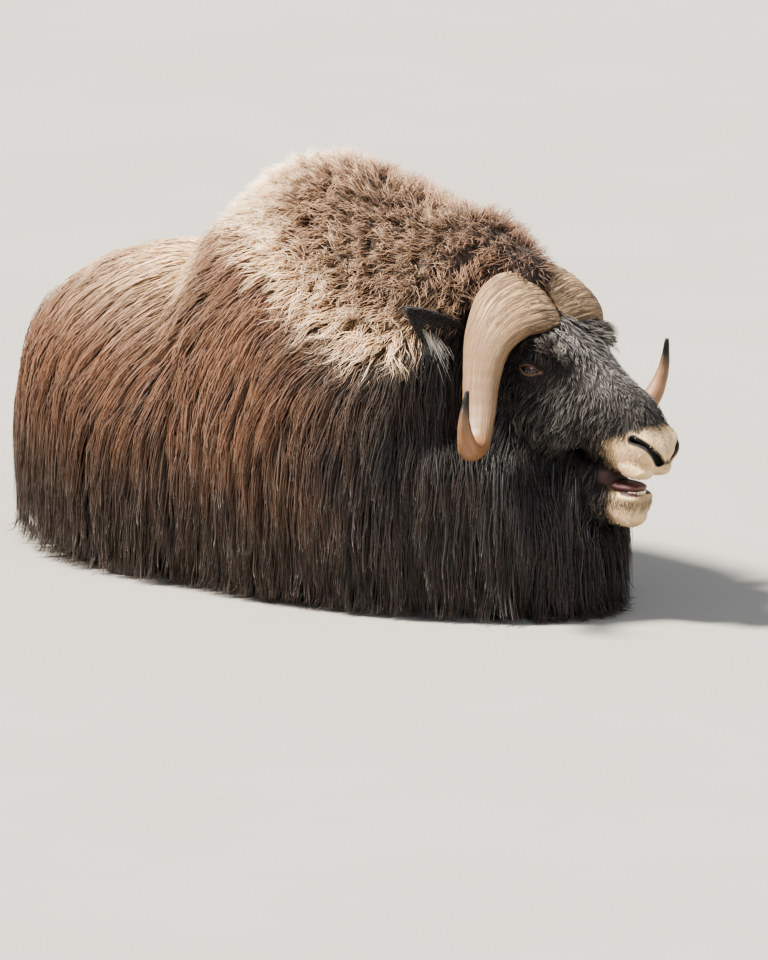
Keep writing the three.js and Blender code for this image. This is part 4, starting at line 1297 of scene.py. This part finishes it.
def feel(points):
    """Height over the skin, and the direction straight away from it, at any points."""
    place = np.clip((points - grid_low) / CELL, 0, np.array(grid_count) - 1.001)
    cell = place.astype(int)
    share = place - cell
    found = 0
    for corner in np.ndindex(2, 2, 2):
        weight = np.prod(np.where(corner, share, 1 - share), axis=1)[:, None]
        x, y, z = (cell + corner).T
        found = found + weight * room[x, y, z]
    return found[:, 0], unit(found[:, 1:])


print("distance grid of", heights.size, "points")

# %% [markdown]
# ## Roots
# Every hair starts at a random place on the skin. A triangle gets roots by its area times how thick the coat is
# there. The random numbers start from a fixed seed, so the animal looks the same each time it is made.

# %% Roots
rng = np.random.default_rng(7)


def triangles_of(piece, points):
    """The triangles of a piece: their corners, places, areas, normals and middles."""
    piece.data.calc_loop_triangles()
    corners = np.empty(len(piece.data.loop_triangles) * 3, np.int32)
    piece.data.loop_triangles.foreach_get("vertices", corners)
    corners = corners.reshape(-1, 3)
    spots = points[corners]
    crossed = np.cross(spots[:, 1] - spots[:, 0], spots[:, 2] - spots[:, 0])
    areas = np.linalg.norm(crossed, axis=1) / 2
    return {"corners": corners, "spots": spots, "areas": areas, "normals": unit(crossed), "middles": spots.mean(1)}


def scatter(ground, share, count):
    """Random places on triangles, by their area times a share, and the skin's normals there."""
    weight = np.cumsum(ground["areas"] * share)
    chosen = np.minimum(np.searchsorted(weight / weight[-1], rng.random(count)), len(weight) - 1)
    a, b = rng.random((2, count, 1))
    a, b = np.where(a + b > 1, 1 - a, a), np.where(a + b > 1, 1 - b, b)
    spots = ground["spots"][chosen]
    return spots[:, 0] + a * (spots[:, 1] - spots[:, 0]) + b * (spots[:, 2] - spots[:, 0]), ground["normals"][chosen]


hide = triangles_of(skin, skin_points)
bare_share = (mouth + nostril_mark + 1.6 * lid_mark)[hide["corners"]].max(1)
hairy = (hide["middles"][:, 2] > 0.02) * (bare_share < 0.25)
print("roots grow on", len(hide["areas"]), "triangles,", round(hide["areas"].sum(), 2), "square metres")

# %% [markdown]
# ## Growing a hair
# A hair is a path of a few steps. Each step goes the way the coat lies there, corrected towards the height at
# which that hair lies in the coat. Under the widest level of the body hair hangs straight down, and where it
# meets the ground it spreads outwards.

# %% Paths of hairs
HIGHEST = cad_box[1][2] + 0.032  # hair stays within these limits beside the block model
FORWARD, RIGHT, UP = way(1, 0, 0), way(0, 1, 0), way(0, 0, 1)
SPLAY = 0.5  # how much hair spreads outwards where it meets the ground
REACH = np.abs(cad_box).max(0)[:2] + (0.022, 0.030)


def grow(roots, normals, lie, lengths, layers, steps, depth, drift=0.0, hang_from=0.42):
    """Paths that follow lie at their share (layers) of the coat's depth, and hang below the level hang_from."""
    path = [roots - np.minimum(0.004, 0.15 * lengths)[:, None] * normals]
    point, direction = path[0], normals
    for k in range(steps):
        height, out = feel(point)
        # near the root a hair is still on its way up to the height where it lies
        wanted = layers * depth(point, out) * min(1, 0.3 + 1.6 * (k + 0.5) / steps)
        step = lengths / steps
        _, _, up = places(point)
        hang = (1 - smooth(up, hang_from - 0.12, hang_from))[:, None]
        along = lie(point, out) + drift
        along = along - (along * out).sum(1, keepdims=True) * out
        along = unit(unit(along) * (1 - hang) + (0.25 * unit(along) - UP) * hang)
        push = ((wanted - height) / step)[:, None]
        # hanging hair is pushed out of the body but never drawn in to it
        push = np.where(push < 0, push * (1 - hang), push)
        level_out = unit(out - (out @ UP)[:, None] * UP + 1e-6)
        sideways = out * (1 - hang) + level_out * hang
        near_ground = (1 - smooth(point[:, 2], 0.01, 0.09))[:, None]
        new = unit(along + np.clip(push, -0.7, 1.3) * sideways + near_ground * SPLAY * level_out)
        direction = unit(0.25 * direction + 0.75 * new)
        point = point + direction * step[:, None]
        point[:, 2] = np.maximum(point[:, 2], 0.003 + 0.010 * layers)
        point[:, :2] = np.clip(point[:, :2], -REACH, REACH)
        path.append(point)
    return np.stack(path, 1)


print("hair stays under", round(HIGHEST, 3), "and within", REACH.round(3))

# %% [markdown]
# ## Locks
# Hair gathers into locks. Some roots are guides, one to a patch of skin, and the hairs round a guide lean towards
# its path, more so towards their tips. A lock waves as one, has one tone, and stands proud in its middle, which
# leaves dark gaps between locks; hair lower in the coat is also painted darker there, as shade.

# %% Locks
def gather(roots, spacing):
    """A guide for each patch of skin, the number of each root's guide, and how far it is as a share of spacing."""
    keys = np.floor(roots / spacing).astype(int)
    _, guides = np.unique(keys, axis=0, return_index=True)
    finder = KDTree(len(guides))
    for i, guide in enumerate(guides):
        finder.insert(roots[guide], i)
    finder.balance()
    found = [finder.find(root) for root in roots]
    return guides, np.array([hit[1] for hit in found]), np.array([hit[2] for hit in found]) / spacing


def hairs(roots, normals, lie, lengths, depth, spacing, pull, wave, wave_length, low, loose, steps=4, curl=0.0,
          **how):
    """Paths of hairs, and the tone of each.

    Locks stand spacing apart and pull that share of their hairs in. They swing by wave and curl, lie at low to 1
    of the coat's depth, and point as far from the lie as loose says.
    """
    count = len(roots)
    guides, guide_of, distance = gather(roots, spacing)
    lock_layer, lock_length = 0.72 + 0.28 * rng.random(len(guides)), 0.88 + 0.24 * rng.random(len(guides))
    lock_tone, lock_phase = rng.random(len(guides)), rng.random(len(guides)) * 2 * math.pi
    lock_drift = loose * rng.normal(size=(len(guides), 3))
    proud = 1 - 0.6 * np.clip(distance, 0, 1) ** 1.5
    layers = np.clip(lock_layer[guide_of] * proud * (low + (1 - low) * rng.random(count) ** 0.7), 0.12, 1)
    lengths = lengths * lock_length[guide_of] * (0.9 + 0.2 * rng.random(count))
    lock_path = grow(
        roots[guides], normals[guides], lie, lengths[guides], lock_layer, steps, depth, lock_drift, **how
    )
    drift = lock_drift[guide_of] + 0.35 * loose * rng.normal(size=(count, 3))
    path = grow(roots, normals, lie, lengths, layers, steps, depth, drift, **how)
    share = np.linspace(0, 1, steps + 1)[None, :, None]
    # pulled towards the lock's own path, but a hair that lies deeper stays deeper
    sunk = (layers - lock_layer[guide_of])[:, None, None] * 0.035
    spread = rng.normal(size=(count, 1, 3)) * 0.0055
    _, out = feel(lock_path.reshape(-1, 3))
    goal = lock_path[guide_of] + spread + sunk * out.reshape(lock_path.shape)[guide_of]
    path = path + pull * share**1.4 * (goal - path)
    along = unit(np.gradient(path, axis=1))
    _, out = feel(path.reshape(-1, 3))
    out = out.reshape(path.shape)
    across = unit(np.cross(along, out) + 1e-9)
    run = share[..., 0] * lengths[:, None]
    phase = (lock_phase[guide_of] + 0.5 * rng.normal(size=count))[:, None]
    swing = np.sin(2 * math.pi * run / wave_length + phase) - np.sin(phase)
    path = path + (wave * share[..., 0] * swing)[..., None] * across
    if curl:
        turn = 2 * math.pi * run / wave_length + 2 * math.pi * rng.random((count, 1))
        size = (curl * (0.6 + 0.8 * rng.random((count, 1))) * np.minimum(1, 2.5 * share[..., 0]))[..., None]
        path = path + size * (np.cos(turn)[..., None] * across + np.sin(turn)[..., None] * out)
    path[..., 2] = np.maximum(path[..., 2], 0.002)
    # hair lower in the coat gets a darker tone, a painted shade from the hair over it; the rest varies at random
    tone = 0.32 + 0.28 * lock_tone[guide_of] + 0.20 * layers + 0.05 * rng.random(count)
    return path, tone


# %% [markdown]
# ## Tufts
# A tuft is a three-sided strand along a path: a little flat, thickest just above the root, and drawn out to a
# point. All strands of a piece are built together as arrays, because there are far too many for a loop.

# %% Tufts
FLATNESS = 0.5  # a strand's thickness as a share of its width
PATCH = 0.003  # the size of a strand's own place on the map that its colours are baked to


def tufts(name, path, width, tone, material, out=None, blur=1.0, follow=0.0, profile=(0.6, 1.0, 0.95, 0.75, 0.42)):
    """One piece with a strand along every path. Its marks are those of the root, or nearer the tip by follow."""
    count, rings = path.shape[0], path.shape[1] - 1
    along = unit(np.gradient(path, axis=1))
    if out is None:
        out = feel(path.reshape(-1, 3))[1].reshape(path.shape)
    across = unit(np.cross(along, out) + 1e-9)
    rise = np.cross(across, along)
    swell = np.interp(np.linspace(0, 1, rings), np.linspace(0, 1, len(profile)), profile)
    turn = rng.random(count)[:, None, None] * 1.2 - 0.6
    reach = width[:, None, None] * swell[None, :, None]
    size = rings * 3 + 1
    points = np.empty((count, size, 3))
    for corner, angle in enumerate((math.pi / 2, math.pi * 7 / 6, math.pi * 11 / 6)):
        sideways, upwards = np.cos(angle + turn) * reach, np.sin(angle + turn) * reach * FLATNESS
        points[:, corner:-1:3] = path[:, :-1] + sideways * across[:, :-1] + upwards * rise[:, :-1]
    points[:, -1] = path[:, -1]
    points[..., 2] = np.clip(points[..., 2], 0.0005, HIGHEST)
    faces = [(0, 2, 1)]
    for ring in range(rings - 1):
        for corner in range(3):
            a, b = ring * 3 + corner, ring * 3 + (corner + 1) % 3
            faces += [(a, b, b + 3), (a, b + 3, a + 3)]
    last = (rings - 1) * 3
    faces += [(last + c, last + (c + 1) % 3, last + 3) for c in range(3)]
    faces = (np.array(faces)[None] + np.arange(count)[:, None, None] * size).reshape(-1, 3)
    piece = mesh_object(name, points.reshape(-1, 3), faces, material)
    share = np.append(np.repeat(np.linspace(0, 1, rings + 1)[:-1], 3), 1.0)
    rows = np.minimum(np.arange(size) // 3, rings)
    marked = path[:, :1] + follow * (path - path[:, :1])[:, rows] + 0.012 * rng.normal(size=(count, 1, 3)) * blur
    paint(piece, marked.reshape(-1, 3), np.tile(share, count), np.repeat(tone, size))
    corner = np.append(np.tile([0.0, 1.0, 0.5], rings), 0.5)
    patch = PATCH * np.stack([share, corner], 1)
    spots = (unwrap(path[:, 0])[:, None] + patch[None]).reshape(-1, 2)
    layer = piece.data.uv_layers.new(name="OFBake")
    layer.data.foreach_set("uv", spots[faces.ravel()].astype(np.float32).ravel())
    return piece


def unwrap(roots):
    """Places on a flat map of the skin: along the body, and around a line through its middle."""
    forward, side, up = places(roots)
    middle = between(forward, [(0.40, 0.30), (0.65, 0.50), (1.0, 0.38)])
    u = 0.02 + 0.95 * (forward + 0.80) / 1.84
    v = 0.02 + 0.95 * (np.arctan2(side, up - middle) / (2 * math.pi) + 0.5)
    return np.stack([u, v], 1)


def coat_piece(piece):
    """Puts a piece of the coat on the body, and gives its number of triangles."""
    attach(piece, "root")
    print(piece.name, len(piece.data.polygons), "triangles")
    return len(piece.data.polygons)


# %% [markdown]
# ## Room for horns and ears
# A hair that grows through a horn would show at once. Real hair is pushed aside by the horn, but to leave such
# hairs out looks the same and needs only a test of whether a path goes inside. The scoops of the ears are kept
# open by the same means.

# %% Hair keeps out of the horns
horns = [BVHTree.FromObject(piece, bpy.context.evaluated_depsgraph_get()) for piece in horn_pieces]


def clear_of_horns(path):
    """True for the paths that keep out of the horns."""
    forward, side, up = places(path)
    clear = np.ones(len(path), bool)
    for i in np.flatnonzero(((forward > 0.52) & (forward < 0.76) & (up > 0.38) & (np.abs(side) < 0.36)).any(1)):
        for point in path[i, 1:]:
            for surface_of_horn in horns:
                spot, normal, _, _ = surface_of_horn.find_nearest(point, 0.06)
                if spot is not None and (Vector(point) - spot).dot(normal) < 0.001:
                    clear[i] = False
    return clear


print("horns to keep clear of:", len(horns))


# %% Hair keeps out of the ears
def clear_of_ears(path):
    """True for the paths that stay behind the ears, so that the scoops show."""
    clear = np.ones(len(path), bool)
    for side, _ in SIDES:
        base, tip, run, opening, broad = ear_frame(side)
        offset = path[:, 1:] - base
        along = (offset @ run) / np.linalg.norm(tip - base)
        front, across = offset @ opening, np.abs(offset @ broad)
        inside = (along > 0.12) & (along < 1.08) & (across < 0.038) & (front > -0.006) & (front < 0.070)
        clear &= ~inside.any(1)
    return clear


# %% [markdown]
# ## Growing a piece of the coat
# All hair of the coat shares one material, because what differs is stored on its points. Every piece is made in
# the same order too: paths in locks, then those that go into a horn or an ear left out, then strands.

# %% A piece of the coat
hair_material, *_ = coat_material("coat_hair")
few = 1.0


def number(count):
    """How many hairs to make of a full count."""
    return int(count * few)


def coat(name, slot, roots, normals, lie, lengths, depth, width, uneven=(0.7, 0.6), shade=0.0, keep=True,
         clear=(clear_of_horns, clear_of_ears), strands=None, **locks):
    """Grows one piece of the coat, and gives its number of triangles. Shade is added to the hairs' tone."""
    path, tone = hairs(roots, normals, lie, lengths, depth, **locks)
    keep = np.all([test(path) for test in clear] + [np.full(len(roots), keep)], axis=0)
    width = width * (uneven[0] + uneven[1] * rng.random(len(roots)))
    piece = tufts(name, path[keep], width[keep], (tone + shade)[keep], hair_material, **(strands or {}))
    return coat_piece(piece)


print("share of the hairs to be made:", few)

# %% [markdown]
# ## Lie of the coat
# On the back, hair runs back and down. It turns to hang straight on the flanks, and on the neck it falls straight
# from the start. A slow swirl keeps the flow from looking combed. The coat is deepest on the hump and thins
# towards the rump.

# %% Lie and depth on the body
TOP_DEPTH = [(-0.80, 0.026), (-0.22, 0.026), (-0.05, 0.058), (0.44, 0.058), (0.52, 0.048), (0.66, 0.036)]
SIDE_DEPTH = [(-0.80, 0.022), (-0.60, 0.050), (-0.15, 0.062), (0.44, 0.064), (0.50, 0.054), (0.80, 0.048)]
BACKWARDS = [(0.20, 0.10), (0.42, 0.24), (0.56, 0.55), (0.66, 0.95), (0.74, 1.25)]  # by how high on the body


def depth_of_coat(points, out):
    """How deep the coat is, between its depth on top and at the side."""
    forward, _, _ = places(points)
    facing_up = np.clip(out @ UP, 0, 1) ** 1.5
    return facing_up * between(forward, TOP_DEPTH) + (1 - facing_up) * between(forward, SIDE_DEPTH)


def swirl(points):
    """A slow wave in the way that hair lies, different on the two sides."""
    forward, side, up = places(points)
    side = np.abs(side) + 0.13 * (side > 0)
    slow = 0.20 * np.sin(8.3 * forward + 5.1 * up + 1.7) + 0.16 * np.sin(15.7 * forward - 9.4 * up + 6.0 * side)
    return slow + 0.10 * np.sin(31 * forward + 12 * up - 14 * side)


def body_lie(points, out):
    """Down and back, apart along the middle of the back."""
    forward, side, up = places(points)
    back = between(up, BACKWARDS) * (1 - 0.85 * smooth(forward, 0.20, 0.55))
    back = back * (0.15 + 0.85 * smooth(forward, -0.70, -0.42))
    apart = np.clip(side / 0.10, -1, 1) * smooth(up, 0.5, 0.7) * 0.8
    return unit(-UP - (back + 0.8 * swirl(points))[:, None] * FORWARD + apart[:, None] * RIGHT)


hide_forward, hide_side, hide_up = places(hide["middles"])
of_head = on_head(hide["middles"])
rough = hide["normals"] @ UP > -0.35
inner_leg = (hide_up < 0.15) & (np.abs(hide_side) < 0.30)
woolly = (markings(hide["middles"])["wool"] > 0.5) & ~of_head
long_haired = hairy * ~of_head * ~inner_leg * ~woolly * rough * (0.55 + 0.6 * smooth(hide_up, 0.15, 0.5))
print("square metres of wool:", round(float(hide["areas"][woolly].sum()), 2))

# %% [markdown]
# ## Long hair
# Guard hair hangs to the ground. It is made in four regions, each of two pieces: broad locks underneath that close
# the coat, painted darker as shade under the rest, and many thin tufts over them that catch the light. Single hairs
# would be finer still, but a museum's model and a file have to stay of a size that can be handled.

# %% Long hair
LONG_REGIONS = {
    "rump": ((-1.00, -0.36), "coat_rump"),
    "flank": ((-0.36, 0.06), "coat_flank"),
    "side": ((0.06, 0.42), "coat_flank"),
    "ruff": ((0.42, 1.00), "coat_neck"),
}
LONG_LAYERS = {
    # the under layer's negative shade paints it darker, as shade under the tufts over it
    "under": {"count": 1500, "width": 0.0028, "low": 0.15, "shade": -0.16},
    "over": {"count": 6300, "width": 0.0013, "low": 0.45, "shade": 0.0},
}
LONG_LENGTHS = [(0.1, 0.20), (0.4, 0.26), (0.62, 0.19), (0.72, 0.13)]  # by how high the root is
total = 0
for region, ((start, end), slot) in LONG_REGIONS.items():
    here = long_haired * (hide_forward >= start) * (hide_forward < end)
    for layer, settings in LONG_LAYERS.items():
        roots, root_normals = scatter(hide, here, number(settings["count"]))
        root_forward, _, root_up = places(roots)
        total += coat(
            f"{region}_{layer}", slot, roots, root_normals, body_lie, between(root_up, LONG_LENGTHS), depth_of_coat,
            settings["width"], uneven=(0.75, 0.5), shade=settings["shade"] - 0.28 * smooth(root_forward, 0.54, 0.72),
            strands={"follow": 0.75}, spacing=0.046, pull=0.42, wave=0.007, wave_length=0.17, low=settings["low"],
            loose=0.08
        )

# %% [markdown]
# ## Wool of the cape
# The cape over the hump is soft underwool come loose in tight curls. Each tuft is a short corkscrew, and the
# locks point every way. It is made in two pieces, because one would be too large.

# %% Wool
WOOL_REGIONS = {"hump_rear": (-1.0, 0.13), "hump_front": (0.13, 1.0)}


def wool_lie(points, out):
    """Down and a little back, apart along the middle of the back."""
    forward, side, up = places(points)
    apart = np.clip(side / 0.12, -1, 1) * smooth(up, 0.55, 0.80)
    back = 0.9 * (1 - smooth(forward, 0.05, 0.40)) + 0.25
    return unit(-0.8 * UP - (back * (0.4 + 0.6 * smooth(up, 0.6, 0.85)))[:, None] * FORWARD + apart[:, None] * RIGHT)


def wool_depth(points, out):
    """Wool stands up higher than the coat where it faces up."""
    return depth_of_coat(points, out) * (1 + 0.60 * np.clip(out @ UP, 0, 1))


for region, (start, end) in WOOL_REGIONS.items():
    here = hairy * woolly * (hide_forward >= start) * (hide_forward < end)
    roots, root_normals = scatter(hide, here, number(7800))
    root_forward, _, _ = places(roots)
    lengths = 0.062 - 0.030 * smooth(root_forward, 0.48, 0.64) + 0.012 * rng.random(len(roots))
    total += coat(
        "wool_" + region, "coat_hump", roots, root_normals, wool_lie, lengths, wool_depth, 0.00135, spacing=0.024,
        pull=0.30, wave=0.0, wave_length=0.080, curl=0.0055, low=0.45, loose=0.50, hang_from=0.0
    )

# %% [markdown]
# ## Fringe of the cape
# Along the cape's edge longer cream locks hang over the dark hair below. Their roots are thickest on the edge
# and fewer to both sides, which leaves a ragged border instead of a line.

# %% Fringe of the cape
on_edge = np.exp(-(((above_cape_edge(hide["middles"]) + 0.005) / 0.030) ** 2))
on_edge = on_edge * smooth(hide_forward, -0.24, -0.10) * (1 - smooth(hide_forward, 0.52, 0.60))
roots, root_normals = scatter(hide, hairy * on_edge * ~of_head, number(3700))
total += coat(
    "wool_fringe", "coat_hump", roots, root_normals, body_lie, 0.085 + 0.060 * rng.random(len(roots)), depth_of_coat,
    0.00125, shade=0.1, spacing=0.030, pull=0.50, wave=0.010, wave_length=0.080, low=0.55, loose=0.28, hang_from=0.0
)

# %% [markdown]
# ## Hair of the head
# Hair falls forward from under the horns over the brow, runs down the bridge of the nose, and turns back and down
# over the cheeks to hang from the jaw. It is shortest round the eyes and on the muzzle.

# %% Lie, length and depth on the head
FACE_RUN, FACE_UP = way(0.86, 0, -0.51), way(0.51, 0, 0.86)


def face_lie(points, out):
    """Forward over the brow and the bridge, down and back over the cheeks."""
    forward, side, _ = places(points)
    top = smooth(out @ FACE_UP, 0.25, 0.80)[:, None]
    sign = np.clip(side / 0.03, -1, 1)[:, None]
    over = FACE_RUN + 0.55 * sign * RIGHT
    beside = (-0.42 + 0.30 * smooth(forward, 0.78, 0.88))[:, None] * FORWARD - 0.9 * UP
    return unit(top * over + (1 - top) * beside + 0.35 * swirl(points)[:, None] * FORWARD)


def near_eye(points):
    """The distance to the nearer eye."""
    return np.minimum(*(np.linalg.norm(points - middle, axis=-1) for middle in eyes.values()))


def face_length(points):
    """How long the fur of the head is: longest on brow and jaw, shortest round the eyes and on the muzzle."""
    forward, side, up = places(points)
    side = np.abs(side)
    white = markings(points)["white"]
    brow = smooth(forward, 0.64, 0.67) * (1 - smooth(forward, 0.745, 0.80)) * smooth(up, 0.565, 0.60)
    cheek = smooth(side, 0.045, 0.075) * (1 - smooth(up, 0.46, 0.54)) * (1 - smooth(forward, 0.80, 0.87))
    jaw = (1 - smooth(up - 0.9 * (0.80 - forward), 0.33, 0.42)) * (1 - smooth(forward, 0.82, 0.86))
    length = 0.025 + 0.022 * brow + 0.016 * cheek + 0.045 * jaw
    length = length * (1 - 0.62 * (1 - smooth(near_eye(points), 0.026, 0.055)))
    length = length * (1 - white) + (0.010 + 0.004 * (up < 0.30)) * white
    lip = np.minimum(np.abs(up - between(forward, UPPER_LIP)), np.abs(up - between(forward, LOWER_LIP)))
    return np.where((forward > 0.83) & (lip < 0.008), np.minimum(length, 0.006), length)


def face_depth(points, out):
    """Fur of the head lies close, at about a third of its length."""
    return np.clip(0.30 * face_length(points), 0.0012, 0.013)


def all_one_way(direction):
    """A lie that is the same everywhere."""
    return lambda points, out: np.tile(direction, (len(points), 1))


def all_one_depth(depth):
    """A depth that is the same everywhere."""
    return lambda points, out: np.full(len(points), depth)


face_sizes = face_length(hide["middles"])
print("fur of the head, metres:", face_sizes[of_head].min().round(4), "to", face_sizes[of_head].max().round(4))

# %% [markdown]
# ## Face and jaw
# Short fur needs more hairs than long fur to cover the same skin, so roots are set the thicker the shorter the
# hair is. The two sides are pieces of their own.

# %% Face and jaw
density = hairy * of_head / np.clip(face_sizes, 0.006, 0.03) ** 1.3 * (1 + 0.5 * markings(hide["middles"])["white"])
SHORT_STRAND = (0.8, 1.0, 0.6)  # the widths of a short strand from root to tip
for name, mask in (("right", hide_side > 0), ("left", hide_side <= 0)):
    roots, root_normals = scatter(hide, density * mask, number(8200))
    lengths = face_length(roots)
    total += coat(
        "hair_face_" + name, "face", roots, root_normals, face_lie, lengths, face_depth,
        np.clip(0.045 * lengths, 0.00055, 0.0013), uneven=(0.75, 0.5),
        strands={"blur": 0.25, "profile": SHORT_STRAND}, spacing=0.014, pull=0.28, wave=0.0016, wave_length=0.03,
        steps=3, low=0.4, loose=0.16, hang_from=0.0
    )

# %% [markdown]
# ## Brow locks
# Over each eye a shaggy lock stands out from under the boss. Its roots are random places in a small box, moved
# to the nearest skin, and all its hairs point forward and out.

# %% Brow locks
for side, name in SIDES:
    spread = rng.random((number(760), 3))
    spots = at(0.668 + 0.095 * spread[:, 0], side * (0.045 + 0.072 * spread[:, 1]), 0.652 - 0.066 * spread[:, 2])
    nearest = [surface.find_nearest(spot) for spot in spots]
    roots, root_normals = np.array([hit[0] for hit in nearest]), np.array([hit[1] for hit in nearest])
    lengths = 0.040 + 0.026 * rng.random(len(roots))
    total += coat(
        "hair_brow_" + name, "face", roots, root_normals, all_one_way(way(0.80, 0.46 * side, 0.20)), lengths,
        all_one_depth(0.036), 0.0011, keep=near_eye(roots) > 0.045, clear=(clear_of_horns,), spacing=0.030, pull=0.55,
        wave=0.003, wave_length=0.05, low=0.5, loose=0.10, hang_from=0.0
    )

# %% [markdown]
# ## Beard
# Under the jaw dark hair hangs straight down in front of the ruff, painted darker still as shade under the jaw. Its
# roots keep behind the pale chin.

# %% Beard
UNDER_JAW = [(0.6, 0.46), (0.7, 0.40), (0.8, 0.29), (0.85, 0.25)]
under_jaw = hairy * (hide_forward > 0.60) * (hide_forward < 0.832) * (np.abs(hide_side) < 0.12)
under_jaw = under_jaw * (hide_up < between(hide_forward, UNDER_JAW))
roots, root_normals = scatter(hide, under_jaw, number(1200))
# the beard's shade of -0.25 is a painted shade under the jaw
total += coat(
    "hair_beard", "coat_neck", roots, root_normals, all_one_way(unit(-UP - 0.15 * FORWARD)),
    0.09 + 0.07 * rng.random(len(roots)), depth_of_coat, 0.0016, shade=-0.25, clear=(), spacing=0.030, pull=0.65,
    wave=0.010, wave_length=0.12, steps=5, low=0.3, loose=0.12, hang_from=2.0
)

# %% [markdown]
# ## Short hair round the ears
# Long hair keeps clear of the ears' scoops, which would leave the skin beside them bare. Short hair closes it.

# %% Short hair round the ears
for side, name in SIDES:
    base, _, run, _, _ = ear_frame(side)
    offset = hide["middles"] - base
    beside = np.linalg.norm(offset - np.clip(offset @ run, -0.02, 0.13)[:, None] * run, axis=1)
    roots, root_normals = scatter(hide, hairy * (beside < 0.085) * ~of_head, number(1000))
    total += coat(
        "hair_ear_foot_" + name, "coat_neck", roots, root_normals, body_lie, 0.034 + 0.012 * rng.random(len(roots)),
        all_one_depth(0.016), 0.0013, clear=(clear_of_horns,), strands={"profile": SHORT_STRAND}, spacing=0.022,
        pull=0.35, wave=0.002, wave_length=0.04, steps=3, low=0.4, loose=0.2, hang_from=0.0
    )

# %% [markdown]
# ## Hair of the ears
# An ear is furred inside and out, and a streak of long white hair hangs from its inner edge. These strands start
# on the scoop itself, from places along and across it, so that they follow its roll.

# %% Hair of the ears
def ear_hair(name, side, count, along, across, direction, length, width, material, slant=0.0, behind=0.0, tone=0.2):
    """Fine strands on the scoop of an ear, in a band along and across it that may slant."""
    picked = rng.random((number(count), 2))
    spots = []
    for a, b in picked:
        start = along[0] + a * (along[1] - along[0])
        spots.append(ear_spot(side, start, across[0] + b * (across[1] - across[0]) + slant * a, behind))
    spots, ways = np.array(spots), unit(direction + 0.16 * rng.normal(size=(len(picked), 3)))
    lengths = length * (0.7 + 0.6 * rng.random(len(picked)))
    share = np.linspace(0, 1, 5)[None, :, None]
    path = spots[:, None] + share * lengths[:, None, None] * ways[:, None]
    path = path - 0.35 * share**2 * lengths[:, None, None] * UP
    out = np.broadcast_to(ear_frame(side)[3], path.shape)
    width, tone = width * (0.7 + 0.6 * rng.random(len(picked))), tone + 0.3 * rng.random(len(picked))
    return coat_piece(tufts(name, path, width, tone, material, out))


def plain_hair(name, stops):
    """Hair of one colour, from root to tip."""
    material, tree, shader = new_material(name, Roughness=0.6, Sheen_Weight=0.15)
    tree.links.new(ramp(tree, stored(tree, "strand")["Red"], stops), shader.inputs["Base Color"])
    return material


pale_hair = plain_hair("pale_ear_hair", [(0, "#6b5f52"), (0.3, "#cfc6b8"), (1, "#f2ede4")])
dark_hair = plain_hair("dark_ear_hair", [(0, "#0c0a0a"), (0.6, "#221c1a"), (1, "#4a3f39")])
for side, name in SIDES:
    _, _, run, opening, _ = ear_frame(side)
    total += ear_hair(
        "hair_ear_" + name, side, 420, (0.05, 0.99), (-1.0, 1.0), run - 0.5 * opening, 0.016, 0.0008, dark_hair,
        behind=EAR["wall"] * 0.7
    )
    total += ear_hair(
        "hair_ear_lining_" + name, side, 420, (0.05, 0.95), (-0.95, 0.95), run + 0.35 * opening, 0.017, 0.0008,
        dark_hair
    )
    total += ear_hair(
        "hair_ear_inside_" + name, side, 150, (0.66, 0.14), (-0.58, -0.44), way(0.36, -0.34 * side, -0.87), 0.085,
        0.0009, pale_hair, slant=0.52, tone=0.6
    )
print("coat:", total, "triangles in all")

# %% [markdown]
# ## Floor material
# The floor is plain, pale and matt, so nothing draws the eye from the animal. Two near greys, blotched over
# metres, are enough to keep it from looking like flat paint.

# %% Floor material
floor_material, *_ = mottled_material(
    "studio_floor", 1.5, "#8a8883", "#8e8c87", 0.0, Roughness=0.9, Specular_IOR_Level=0.1
)
floor.data.materials.append(floor_material)
print("materials:", len(bpy.data.materials))
